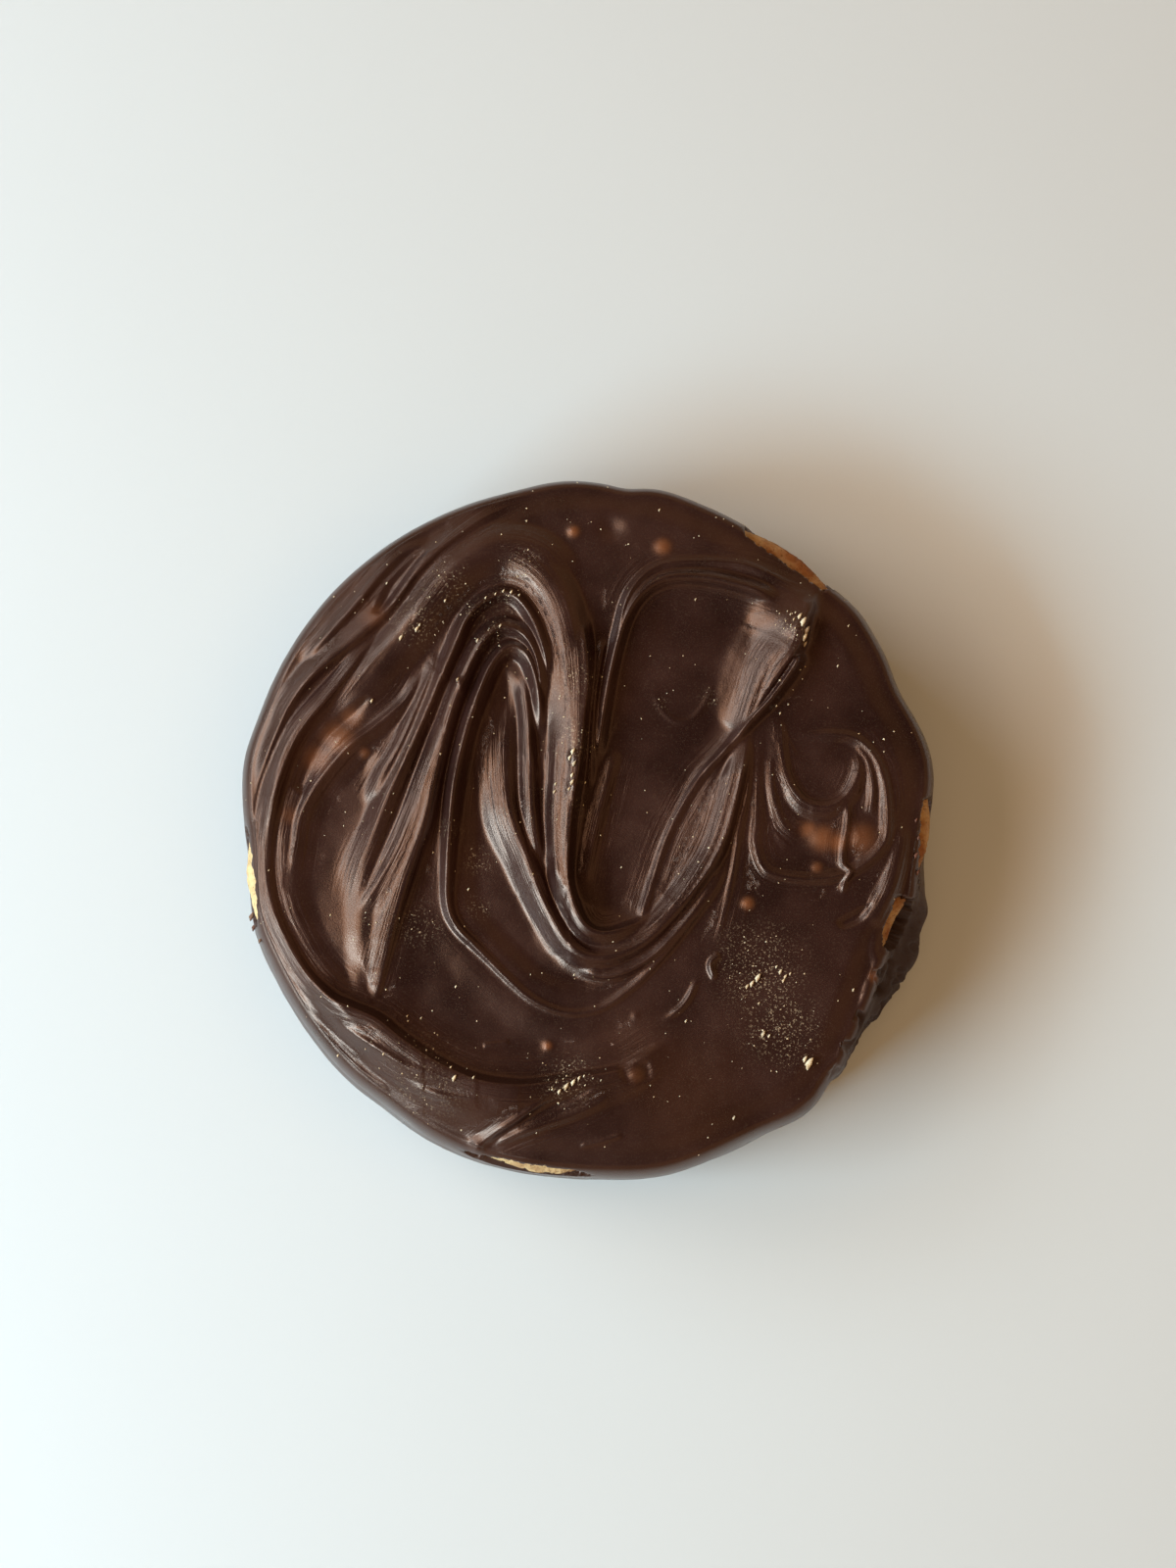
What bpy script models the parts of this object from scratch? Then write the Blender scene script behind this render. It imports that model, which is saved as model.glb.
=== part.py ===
# Chocolate-coated sandwich biscuit: two round biscuits with a caramel filling between them, wrapped in one
# chocolate coat whose top is spread into swirls. The coat has broken away in a few places round the side.
# Origin: centre of the flat underside. +Z is up, +X is right and +Y is away from the viewer.

import math

import bmesh
import bpy
import numpy as np

# All sizes below are in millimetres, and angles are degrees anticlockwise from +X.
METRE = 0.001

# Outline seen from above: a circle with a few flats and bumps, each (angle, how far out, half width).
OUTLINE_RADIUS = 36.2
OUTLINE_BUMPS = (
    (11, 0.45, 6), (24, -0.5, 5), (39, 0.3, 5), (55, -0.4, 9), (78, 0.35, 6), (84, -0.3, 3), (94, 0.45, 7),
    (140, 0.9, 45), (169, 0.4, 6), (184, -0.45, 6), (197, 0.25, 6), (234, -0.25, 6), (262, -0.15, 12),
    (281, 0.15, 6), (307, 0.35, 5), (313, -0.2, 3), (316, 0.25, 2), (325, -0.7, 8), (338, 0.3, 3),
    (347, 0.25, 2), (356, -1.0, 8),
)

# The outline is uneven, so its middle lies a little off the point that its radii are measured from.
CENTRE_OFFSET = (0.28, -0.3)

# Heights of the layers, bottom to top.
LOWER_BISCUIT = (1.5, 7.4)
FILLING = (7.7, 10.3)
UPPER_BISCUIT = (10.6, 15.5)
TOP_LEVEL = 17.8
TOP_DOME = 0.5
GAP = 0.3

# Side of the coat, as (inset from the outline, height) from the top edge down to the foot.
SIDE_PROFILE = (
    (1.3, 16.7), (0.95, 15.9), (0.7, 14.6), (0.5, 13.0), (0.45, 11.0), (0.2, 9.4),
    (0.0, 7.4), (0.05, 5.4), (0.35, 3.6), (0.95, 1.8), (1.9, 0.7), (3.0, 0.15), (4.2, 0.0),
)
RIM_INSET = 1.9
RIM_HEIGHT = 17.2
EDGE_FALL_WIDTH = 2.2
EDGE_FALL = 0.5
EDGE_CREST_SHARE = 0.45  # part of a crest's height that is left where it runs over the edge
EDGE_WAVE_FROM = 12.0    # above this height the side follows the waves of the top's edge

# The upper edge of the coat stands back, or out where it is below 0: (angle, how far in, half width).
UPPER_SETBACKS = ((90, -0.3, 40), (255, -0.9, 14), (283, -0.9, 14), (307, -0.7, 8), (338, 2.2, 11))
SETBACK_ENDS = (9.0, 12.5)

# Lumps in the side of the coat: angle range, depth and number over the range, and their lowest and highest.
LUMPS = (318, 352, 0.12, 5)
LUMPS_HEIGHT = (2.0, 14.0)

# Biscuits: inset of their edge from the outline, edge rounding, and the small bumps and chips in the edge.
BISCUIT_INSET = 1.35
BISCUIT_ROUND = 1.5
UPPER_EDGE_BUMPS = ((54, 1.1, 8), (188, 0.9, 8), (358, 1.1, 7), (261, 0.7, 9), (338, -2.6, 12))
LOWER_EDGE_BUMPS = ((40, 0.1, 12), (200, -0.2, 12))
FILLING_INSET = 2.3
FILLING_ROUND = 0.8
FILLING_BUMPS = ((344, 1.6, 5), (120, 0.2, 14), (230, -0.3, 16))

# Broken places in the coat: (name, from angle, to angle, inner radius, lowest, highest).
OPENINGS = (
    ("opening_upper_right", 44, 63, 33.6, 11.2, 18.6),
    ("opening_left", 180.6, 197, 34.2, 11.2, 18.6),
    ("opening_right", -11, 5, 33.1, 11.2, 18.6),
    ("opening_lower_right", -21, -13, 30.1, 8.3, 19.2),
    ("opening_front", 249, 270, 34.2, 14.6, 16.4),
)
OPENING_REACH = 4.0     # how far each cutting block goes past the outline
OPENING_BLUNT = 0.25    # height left at the two ends of a lens, as part of its middle
OPENING_LENS = 0.7      # how much further out the ends of a lens lie
OPENING_WOBBLE = 0.3    # waviness of the broken lip
OPENING_WAVES = 7.0

# The swirls were spread slightly off the middle: their points are measured from this place.
SWIRL_ORIGIN = (-0.4, -0.8)

# Swirl crests: name, height, width of the left flank, width of the right flank, roundness of the crest
# and the points that the crest runs through, in order. Left is the left of someone walking along it.
CRESTS = (
    ("centre", 2.5, 1.3, 3.6, 0.15, (
        (0.1, 22), (-0.2, 16), (-0.9, 7), (-1.7, 2), (-2.1, -3.5), (-0.3, -9.6), (2.4, -10.7), (5.3, -9.4),
        (10.2, -4.1), (12.5, 1), (15.9, 8.6))),
    ("ribbon_edge", 1.9, 1.8, 2.6, 0.15, (
        (-9.2, 8), (-7.4, 0), (-4.6, -7.5), (-1.7, -11.9), (2.3, -13), (5.7, -11.7), (12.3, -4.8), (15.4, 4.6),
        (16.8, 10.2))),
    ("outer_arch", 1.9, 3.0, 1.5, 0.1, (
        (-24, -7.5), (-22.3, -1.5), (-18.6, 7.3), (-14.9, 15.9), (-12.7, 21.5), (-8, 24.4), (-4.8, 20.2),
        (-3.9, 15.9), (-4.0, 8), (-4.8, 0))),
    ("middle_arch", 2.0, 2.2, 1.3, 0.1, (
        (-21.6, -17.6), (-19.5, -9.9), (-15.9, 3), (-12.8, 15.4), (-10.9, 19), (-8.3, 20.9), (-5.7, 19.4),
        (-4.9, 16.0))),
    ("inner_arch", 2.1, 1.7, 1.2, 0.1, (
        (-14.1, -7.5), (-13.9, -1), (-12.4, 9.2), (-10.7, 14.2), (-9.2, 17.6), (-7.7, 18.8), (-5.8, 17.2),
        (-4.8, 11))),
    ("lower_arc", 0.9, 1.4, 1.6, 0.2, (
        (-14.1, -7.5), (-13.1, -10.2), (-9.6, -13.3), (-5.7, -16.7), (-2, -18.5), (1, -17.8), (4.4, -15.3),
        (11.2, -8), (13.3, -4))),
    ("tip_ridge", 2.0, 1.0, 1.1, 0.1, (
        (22.2, 19.2), (19.6, 14.4), (16.2, 10.2), (12.8, 6.7), (9.9, 2.8), (7.5, -1.7), (5.3, -9.2))),
    ("tongue", 2.2, 1.5, 6.0, 0.2, ((14, 25.4), (18, 23.8), (21.2, 21.8), (22.3, 19.6), (22, 16.6))),
    ("loop", 1.5, 1.8, 1.6, 0.2, (
        (1.6, 12), (2.8, 18), (4.4, 22.7), (6.7, 26), (11, 27.2), (16.7, 26.6), (21.5, 24.6), (24.9, 22))),
    ("shoulder", 1.8, 4.2, 3.4, 0.9, (
        (-24, 14.5), (-20, 19), (-15, 26), (-12, 28.5), (-8, 29.5), (-4, 27.4), (-2, 23), (-1.2, 17))),
    ("leaf_edge", 0.9, 1.6, 2.0, 0.3, (
        (-16, 18), (-18.8, 13.6), (-22.3, 10.4), (-26.5, 6.5), (-29.1, 2), (-30.5, -5))),
    ("left_rim", 2.0, 1.6, 5.0, 0.25, (
        (9.3, -20.4), (3.6, -23.3), (-5.4, -25.4), (-14.6, -23.3), (-21.2, -19.9), (-26.5, -16.7), (-30.9, -10.7),
        (-32.4, -4), (-31.7, 5.5), (-29.4, 10.4), (-25.4, 14.9), (-20, 20.3), (-17, 25.5))),
    ("outer_rim", 1.3, 1.5, 2.0, 0.5, (
        (-33.2, -4), (-33.4, 5), (-30.6, 13), (-26.4, 19.4), (-21.2, 25.2), (-15.5, 29.6), (-8, 32.8))),
    ("tail", 1.5, 1.2, 1.4, 0.2, ((-2.2, -25.8), (-5.4, -27.5), (-8, -29.1), (-11.4, -31.2))),
    ("second_tail", 0.9, 1.0, 1.2, 0.3, ((2.4, -25), (-0.3, -27.9), (-6, -29.7), (-10.5, -31.4))),
    ("small_swirl", 1.1, 1.5, 1.8, 0.2, (
        (17.3, 9), (17.1, 3), (17.3, -2.4), (19.4, -4.6), (24, -4.8), (28.6, -2.9), (30.7, 1), (30.4, 6),
        (28, 9.6), (23.6, 10.4))),
    ("swirl_eye", 0.9, 1.4, 1.4, 0.4, (
        (19, 12), (19.1, 7), (20.4, 2.8), (24, 0.4), (27, 2), (28.5, 5), (27.3, 8.6))),
    ("right_fold", 1.0, 1.5, 1.5, 0.3, ((32.4, 0), (31.5, -3.8), (29.6, -7.5), (26.4, -9.6))),
)
CREST_RADIUS = 0.3
CREST_HOLLOW = 1.6   # 1 is a straight flank, more is a hollow one
CREST_TAPER = 0.12   # part of a crest's length over which each end fades out
PEAK = (21.4, 20.6, 2.7, 1.2)  # place, height and half width of the broken tip
FLOOR_FADE = 1.2     # a floor is back at full level under crests of this height

# Sunken floors between the crests: name, depth, width of the wall, and the outline points.
FLOORS = (
    ("trough", 0.6, 2.2, (
        (0.8, 13), (3.4, 18.5), (6, 24), (10, 25.5), (14, 24.5), (16.5, 17), (13.5, 9.5), (9, 3), (6, -3),
        (4, -8.6), (0.8, -8.6), (-0.4, -3), (0.4, 5))),
    ("hollow", 0.5, 2.0, ((-11, 13), (-8.2, 17), (-6, 13), (-7, 3), (-4, -7), (-2, -12), (-8, -12), (-12.6, -6))),
    ("left_floor", 0.5, 3.0, ((-28, 4), (-20, 9), (-19, 0), (-22, -12), (-23, -17), (-28.6, -10.5), (-30, -4))),
)

# Resolution of the meshes.
TOP_RINGS = 80
COAT_TRIANGLES = 8200
CURVE_STEPS = 7
BISCUIT_SEGMENTS = 60
OPENING_STEPS = 9
FOOT_SNAP = 0.03    # vertices lower than this are set on the floor
SMOOTH_ANGLE = 40.0

# Colours (linear RGB) and surface values.
CHOCOLATE = (0.052, 0.024, 0.015)
BAKED = (0.55, 0.27, 0.09)
CARAMEL = (0.36, 0.14, 0.03)


def clear_scene():
    for thing in list(bpy.data.objects):
        bpy.data.objects.remove(thing, do_unlink=True)


def bumps(angle, table):
    # Sum of smooth bumps round the circle; angle in degrees, a number or an array.
    total = 0.0
    for centre, size, half_width in table:
        away = (angle - centre + 180.0) % 360.0 - 180.0
        total = total + size * np.exp(-(away / half_width) ** 2)
    return total


def outline(angle):
    return OUTLINE_RADIUS + bumps(angle, OUTLINE_BUMPS)


def smooth_step(low, high, value):
    t = np.clip((value - low) / (high - low), 0.0, 1.0)
    return t * t * (3.0 - 2.0 * t)


def through(points, steps):
    # Catmull-Rom curve through the points.
    knots = np.array(points, float)
    ends = np.vstack([2 * knots[0] - knots[1], knots, 2 * knots[-1] - knots[-2]])
    t = np.linspace(0.0, 1.0, steps, endpoint=False)[:, None]
    parts = []
    for i in range(len(knots) - 1):
        a, b, c, d = ends[i:i + 4]
        parts.append(0.5 * (2 * b + (c - a) * t + (2 * a - 5 * b + 4 * c - d) * t ** 2
                            + (3 * b - a - 3 * c + d) * t ** 3))
    parts.append(knots[-1:])
    return np.vstack(parts)


def nearest_on(path, x, y):
    # Distance to the path, side of it (+1 left, -1 right) and place along it from 0 to 1.
    best = np.full(x.shape, 1e9)
    side = np.ones(x.shape)
    along = np.zeros(x.shape)
    lengths = np.hypot(*np.diff(path, axis=0).T)
    reached = np.concatenate([[0.0], np.cumsum(lengths)])
    for i, length in enumerate(lengths):
        (ax, ay), (bx, by) = path[i], path[i + 1]
        ux, uy = (bx - ax) / length, (by - ay) / length
        t = np.clip((x - ax) * ux + (y - ay) * uy, 0.0, length)
        dx, dy = x - ax - t * ux, y - ay - t * uy
        distance = np.hypot(dx, dy)
        closer = distance < best
        best = np.where(closer, distance, best)
        side = np.where(closer, np.where(ux * dy - uy * dx >= 0, 1.0, -1.0), side)
        along = np.where(closer, (reached[i] + t) / reached[-1], along)
    return best, side, along


def crest_height(crest, x, y):
    name, height, left_width, right_width, roundness, points = crest
    distance, side, along = nearest_on(through(points, CURVE_STEPS), x, y)
    distance = np.sqrt(distance ** 2 + CREST_RADIUS ** 2) - CREST_RADIUS
    u = np.clip(distance / np.where(side > 0, left_width, right_width), 0.0, 1.0)
    sharp = (1.0 - u) ** CREST_HOLLOW
    soft = (1.0 - u * u) ** 2
    taper = smooth_step(0.0, CREST_TAPER, along) * smooth_step(0.0, CREST_TAPER, 1.0 - along)
    return height * taper * (sharp * (1.0 - roundness) + soft * roundness)


def floor_depth(floor, x, y):
    # Depth of a sunken floor: 0 outside its outline, full depth one wall width inside it.
    name, depth, wall, points = floor
    loop = through(points + points[:1], 4)
    distance, side, along = nearest_on(loop, x, y)
    inside = np.zeros(x.shape, bool)
    for (ax, ay), (bx, by) in zip(loop[:-1], loop[1:]):
        crosses = (ay > y) != (by > y)
        if crosses.any():
            at = ax + (y - ay) / ((by - ay) or 1e-9) * (bx - ax)
            inside ^= crosses & (x < at)
    return depth * smooth_step(0.0, wall, np.where(inside, distance, 0.0))


def mound(place, x, y):
    px, py, height, width = place
    return height * np.exp(-((x - px) ** 2 + (y - py) ** 2) / width ** 2)


def top_height(x, y, rim):
    # Height of the coat's top at x, y; rim is how far in from the edge of the top each point is.
    centre_distance = np.hypot(x, y) / OUTLINE_RADIUS
    level = TOP_LEVEL - TOP_DOME * centre_distance ** 2
    x, y = x - SWIRL_ORIGIN[0], y - SWIRL_ORIGIN[1]
    crests = np.zeros(x.shape)
    for crest in CRESTS:
        crests = np.maximum(crests, crest_height(crest, x, y))
    crests = np.maximum(crests, mound(PEAK, x, y))
    for floor in FLOORS:
        level = level - floor_depth(floor, x, y) * (1.0 - np.clip(crests / FLOOR_FADE, 0.0, 1.0))
    edge = 1.0 - smooth_step(0.0, EDGE_FALL_WIDTH, rim)
    edge_level = RIM_HEIGHT - EDGE_FALL + EDGE_CREST_SHARE * crests
    return (level + crests) * (1.0 - edge) + edge_level * edge


def upper_setback(angle, height):
    return bumps(angle, UPPER_SETBACKS) * smooth_step(*SETBACK_ENDS, height)


def lumps(angle, height):
    start, end, depth, count = LUMPS
    turn = (angle - start) % 360.0 / (end - start)
    wave = np.where(turn < 1.0, np.sin(np.pi * np.clip(turn, 0, 1)) * np.sin(2 * np.pi * count * turn), 0.0)
    low, high = LUMPS_HEIGHT
    return depth * wave * np.sin(np.pi * np.clip((height - low) / (high - low), 0.0, 1.0))


def disc_grid(rings):
    # Square grid bent into a disc: ring k has 8k points. Gives points on the unit disc and the quads.
    side = 2 * rings + 1
    line = np.linspace(-1.0, 1.0, side)
    gx, gy = np.meshgrid(line, line)
    radius = np.maximum(np.abs(gx), np.abs(gy))
    across = np.abs(gx) >= np.abs(gy)
    with np.errstate(divide="ignore", invalid="ignore"):
        turn = np.where(across, gy / gx * 45.0, 90.0 - gx / gy * 45.0)
    turn = np.nan_to_num(turn) + np.where(np.where(across, gx < 0, gy < 0), 180.0, 0.0)
    quads = []
    for j in range(side - 1):
        for i in range(side - 1):
            a = j * side + i
            quads.append((a, a + 1, a + side + 1, a + side))
    return radius.ravel(), turn.ravel() % 360.0, quads


def edge_ring(rings):
    # Indices of the grid's border, anticlockwise from the middle of the +X side.
    side = 2 * rings + 1
    right = [j * side + side - 1 for j in range(rings, side)]
    top = [(side - 1) * side + i for i in range(side - 2, -1, -1)]
    left = [j * side for j in range(side - 2, -1, -1)]
    bottom = list(range(1, side))
    right_low = [j * side + side - 1 for j in range(1, rings)]
    return right + top + left + bottom + right_low


def coat_outside():
    # Outer skin of the coat: swirled top, side rows and flat underside, as points and faces.
    radius, turn, faces = disc_grid(TOP_RINGS)
    rim_radius = outline(turn) - RIM_INSET - upper_setback(turn, RIM_HEIGHT)
    x = radius * rim_radius * np.cos(np.radians(turn))
    y = radius * rim_radius * np.sin(np.radians(turn))
    z = top_height(x, y, rim_radius * (1.0 - radius))
    points = list(zip(x, y, z))
    ring = edge_ring(TOP_RINGS)
    angle = turn[ring]
    lift = z[ring] - (RIM_HEIGHT - EDGE_FALL)
    for inset, height in SIDE_PROFILE:
        reach = outline(angle) - inset - upper_setback(angle, height) + lumps(angle, height)
        rise = lift * smooth_step(EDGE_WAVE_FROM, RIM_HEIGHT, height)
        row = [len(points) + i for i in range(len(ring))]
        points += list(zip(reach * np.cos(np.radians(angle)), reach * np.sin(np.radians(angle)), height + rise))
        for i in range(len(ring)):
            j = (i + 1) % len(ring)
            faces.append((ring[j], ring[i], row[i], row[j]))
        ring = row
    middle = len(points)
    points.append((0.0, 0.0, 0.0))
    for i in range(len(ring)):
        faces.append((ring[(i + 1) % len(ring)], ring[i], middle))
    return points, faces


def new_object(name, points, faces):
    mesh = bpy.data.meshes.new(name)
    dx, dy = CENTRE_OFFSET
    placed = [((px + dx) * METRE, (py + dy) * METRE, pz * METRE) for px, py, pz in points]
    mesh.from_pydata(placed, [], faces)
    work = bmesh.new()
    work.from_mesh(mesh)
    bmesh.ops.recalc_face_normals(work, faces=work.faces)
    work.to_mesh(mesh)
    work.free()
    made = bpy.data.objects.new(name, mesh)
    bpy.context.scene.collection.objects.link(made)
    return made


def layer_rows(reach, low, high, rounding, grow=0.0, steps=2):
    # Rows of a flat round layer with rounded edges, bottom to top: (radius function, inset, height).
    turns = [math.radians(90.0 * i / steps) for i in range(steps + 1)]
    rise = [(rounding * (1 - math.sin(turn)) - grow, rounding * (1 - math.cos(turn))) for turn in turns]
    rows = [(reach, inset, low - grow + height) for inset, height in rise]
    return rows + [(reach, inset, high + grow - height) for inset, height in reversed(rise)]


def turned(name, rows):
    # Closed round body through the rows, with a flat bottom and top.
    count = BISCUIT_SEGMENTS
    angles = np.arange(count) * 360.0 / count
    points = []
    for reach, inset, height in rows:
        radius = reach(angles) - inset
        points += list(zip(radius * np.cos(np.radians(angles)), radius * np.sin(np.radians(angles)),
                           np.full(count, height)))
    faces = [tuple(range(count - 1, -1, -1)), tuple(range(len(points) - count, len(points)))]
    for row in range(len(rows) - 1):
        for i in range(count):
            j = (i + 1) % count
            faces.append((row * count + i, row * count + j, (row + 1) * count + j, (row + 1) * count + i))
    return new_object(name, points, faces)


def upper_reach(angle):
    return outline(angle) - BISCUIT_INSET + bumps(angle, UPPER_EDGE_BUMPS)


def lower_reach(angle):
    return outline(angle) - BISCUIT_INSET + bumps(angle, LOWER_EDGE_BUMPS)


def filling_reach(angle):
    return outline(angle) - FILLING_INSET + bumps(angle, FILLING_BUMPS)


def opening_cutter(name, start, end, inner, low, high):
    # Lens-shaped block across the side wall, which breaks the coat open there.
    outer = OUTLINE_RADIUS + OPENING_REACH
    middle = 0.5 * (low + high)
    points = []
    for i in range(OPENING_STEPS):
        t = 2.0 * i / (OPENING_STEPS - 1) - 1.0
        open_part = max(math.sqrt(max(1.0 - t * t, 0.0)), OPENING_BLUNT)
        wobble = OPENING_WOBBLE * math.sin(OPENING_WAVES * t + start)
        angle = math.radians(start + (end - start) * i / (OPENING_STEPS - 1))
        bottom = middle + (low - middle) * open_part
        top = middle + (high - middle) * open_part
        inward = inner + OPENING_LENS * (1.0 - open_part) + wobble
        for reach, height in ((inward, bottom), (outer, bottom), (outer, top), (inward, top)):
            points.append((reach * math.cos(angle), reach * math.sin(angle), height))
    faces = [(0, 1, 2, 3), tuple(4 * (OPENING_STEPS - 1) + k for k in (3, 2, 1, 0))]
    for i in range(OPENING_STEPS - 1):
        for k in range(4):
            n = (k + 1) % 4
            faces.append((4 * i + k, 4 * i + 4 + k, 4 * i + 4 + n, 4 * i + n))
    return new_object(name, points, faces)


def as_cutter(thing):
    thing.hide_render = True
    thing.display_type = "WIRE"
    return thing


def cut(thing, cutter):
    modifier = thing.modifiers.new(cutter.name, "BOOLEAN")
    modifier.operation = "DIFFERENCE"
    modifier.solver = "EXACT"
    modifier.object = cutter


def material(name, colour, roughness):
    made = bpy.data.materials.new(name)
    made.use_nodes = True
    shader = made.node_tree.nodes["Principled BSDF"]
    shader.inputs["Base Color"].default_value = (*colour, 1.0)
    shader.inputs["Roughness"].default_value = roughness
    shader.inputs["Metallic"].default_value = 0.0
    return made


def finish(thing, surface):
    thing.data.materials.append(surface)
    thing.data.shade_smooth()
    thing.data.set_sharp_from_angle(angle=math.radians(SMOOTH_ANGLE))


def thinned(thing, triangles):
    # Fewer triangles where the surface is smooth, with the underside kept flat.
    count = sum(len(face.vertices) - 2 for face in thing.data.polygons)
    modifier = thing.modifiers.new("thin", "DECIMATE")
    modifier.ratio = triangles / count
    graph = bpy.context.evaluated_depsgraph_get()
    mesh = bpy.data.meshes.new_from_object(thing.evaluated_get(graph))
    thing.modifiers.remove(modifier)
    old = thing.data
    thing.data = mesh
    bpy.data.meshes.remove(old)
    mesh.name = thing.name
    for vertex in mesh.vertices:
        if vertex.co.z < FOOT_SNAP * METRE:
            vertex.co.z = 0.0


def make_coat():
    coat = new_object("chocolate_coat", *coat_outside())
    thinned(coat, COAT_TRIANGLES)
    rows = layer_rows(lower_reach, *LOWER_BISCUIT, BISCUIT_ROUND, GAP)
    rows += [(filling_reach, -GAP, LOWER_BISCUIT[1] + GAP), (filling_reach, -GAP, UPPER_BISCUIT[0] - GAP)]
    rows += layer_rows(upper_reach, *UPPER_BISCUIT, BISCUIT_ROUND, GAP)
    cut(coat, as_cutter(turned("cavity", rows)))
    for values in OPENINGS:
        cut(coat, as_cutter(opening_cutter(*values)))
    return coat


def main():
    clear_scene()
    finish(make_coat(), material("chocolate", CHOCOLATE, 0.38))
    baked = material("biscuit", BAKED, 0.8)
    finish(turned("upper_biscuit", layer_rows(upper_reach, *UPPER_BISCUIT, BISCUIT_ROUND)), baked)
    finish(turned("lower_biscuit", layer_rows(lower_reach, *LOWER_BISCUIT, BISCUIT_ROUND)), baked)
    filling = turned("caramel_filling", layer_rows(filling_reach, *FILLING, FILLING_ROUND))
    finish(filling, material("caramel", CARAMEL, 0.45))


main()
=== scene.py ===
import math

import bpy
import numpy as np
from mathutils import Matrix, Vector


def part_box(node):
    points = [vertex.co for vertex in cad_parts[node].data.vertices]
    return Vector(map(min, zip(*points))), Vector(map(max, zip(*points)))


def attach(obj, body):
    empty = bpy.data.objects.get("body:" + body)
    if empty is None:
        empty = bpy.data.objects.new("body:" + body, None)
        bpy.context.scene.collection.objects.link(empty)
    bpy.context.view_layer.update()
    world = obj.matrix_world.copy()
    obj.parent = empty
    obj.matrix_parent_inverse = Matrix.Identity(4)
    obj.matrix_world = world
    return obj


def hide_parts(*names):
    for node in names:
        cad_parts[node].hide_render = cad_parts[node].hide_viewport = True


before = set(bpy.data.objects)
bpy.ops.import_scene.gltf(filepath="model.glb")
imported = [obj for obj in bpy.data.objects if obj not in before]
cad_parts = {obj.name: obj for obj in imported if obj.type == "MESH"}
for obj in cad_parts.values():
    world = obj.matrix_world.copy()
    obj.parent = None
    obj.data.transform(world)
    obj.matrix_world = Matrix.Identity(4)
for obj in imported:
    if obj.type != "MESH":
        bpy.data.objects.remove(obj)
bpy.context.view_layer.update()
mm = 0.001  # every length below is in millimetres
centreOffset = (0.28, -0.3)  # from the point that the radii are measured from to the middle of the piece

print("camera and light")

viewValues = {
    "tilt": 8.0,             # degrees from straight down
    "distance": 300.0,
    "aim": (-0.02, 3.6, 18.3),
    "lens": 67.5,
}


def addCamera():
    tilt = math.radians(viewValues["tilt"])
    back = Vector((0.0, -math.sin(tilt), math.cos(tilt)))
    camera = bpy.data.objects.new("camera", bpy.data.cameras.new("camera"))
    camera.data.lens = viewValues["lens"]
    camera.data.clip_start = 0.01
    camera.location = (Vector(viewValues["aim"]) + back * viewValues["distance"]) * mm
    camera.rotation_mode = "QUATERNION"
    camera.rotation_quaternion = (-back).to_track_quat("-Z", "Y")
    bpy.context.scene.collection.objects.link(camera)
    bpy.context.scene.camera = camera


lightValues = {
    # window light: low from the left, wide and cool
    "window": {
        "place": (-350, -160, 260), "width": 275, "height": 165, "power": 3.5, "colour": (0.48, 0.78, 1.0)},
    # second pane of the window, farther back
    "backWindow": {
        "place": (-400, 200, 290), "width": 305, "height": 180, "power": 1.3, "colour": (0.56, 0.8, 1.0)},
    # warm wall that the sun lights, on the left
    "glow": {
        "place": (-440, 0, 500), "width": 620, "height": 300, "power": 2.1, "colour": (1.0, 0.78, 0.56)},
    # warm soft fill from above, which only lifts the shadow
    "fill": {
        "place": (110, -80, 560), "width": 600, "height": 500, "power": 1.15, "colour": (1.0, 0.68, 0.37)},
    "room": (1.0, 0.7, 0.4),
    "roomSides": 0.4,        # strength of the room's light from the sides
    "roomAbove": 0.03,       # and from straight above
    "roomBlend": (0.55, 0.9),
}


def addAreaLight(name, values):
    lamp = bpy.data.lights.new(name, "AREA")
    lamp.shape = "RECTANGLE"
    lamp.size = values["width"] * mm
    lamp.size_y = values["height"] * mm
    lamp.energy = values["power"]
    lamp.color = values["colour"]
    holder = bpy.data.objects.new(name, lamp)
    holder.location = Vector(values["place"]) * mm
    holder.rotation_mode = "QUATERNION"
    holder.rotation_quaternion = (-Vector(values["place"])).to_track_quat("-Z", "Y")
    bpy.context.scene.collection.objects.link(holder)


def addLight():
    for name in ("window", "backWindow", "glow", "fill"):
        addAreaLight(name, lightValues[name])
    bpy.data.objects["fill"].visible_glossy = False
    world = bpy.data.worlds.new("room")
    world.use_nodes = True
    tree = world.node_tree
    background = tree.nodes["Background"]
    background.inputs["Color"].default_value = (*lightValues["room"], 1.0)
    height = tree.nodes.new("ShaderNodeSeparateXYZ")
    tree.links.new(tree.nodes.new("ShaderNodeTexCoord").outputs["Generated"], height.inputs["Vector"])
    strength = tree.nodes.new("ShaderNodeMapRange")
    strength.interpolation_type = "SMOOTHSTEP"
    ends = (*lightValues["roomBlend"], lightValues["roomSides"], lightValues["roomAbove"])
    for name, value in zip(("From Min", "From Max", "To Min", "To Max"), ends):
        strength.inputs[name].default_value = value
    tree.links.new(height.outputs["Z"], strength.inputs["Value"])
    tree.links.new(strength.outputs["Result"], background.inputs["Strength"])
    bpy.context.scene.world = world
    bpy.context.scene.view_settings.view_transform = "Standard"


addCamera()
addLight()

# Materials: small helpers, then one shared grain effect, then one function for each finish.


def feed(tree, socket, value):
    # A socket takes a link or a plain value.
    if isinstance(value, bpy.types.NodeSocket):
        tree.links.new(value, socket)
    else:
        socket.default_value = value


def addNode(tree, kind, inputs=None, **settings):
    node = tree.nodes.new(kind)
    for name, value in settings.items():
        setattr(node, name, value)
    for name, value in (inputs or {}).items():
        feed(tree, node.inputs[name], value)
    return node


def addSockets(tree, way, sockets):
    for name, kind in sockets.items():
        tree.interface.new_socket(name, in_out=way, socket_type="NodeSocket" + kind)


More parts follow.
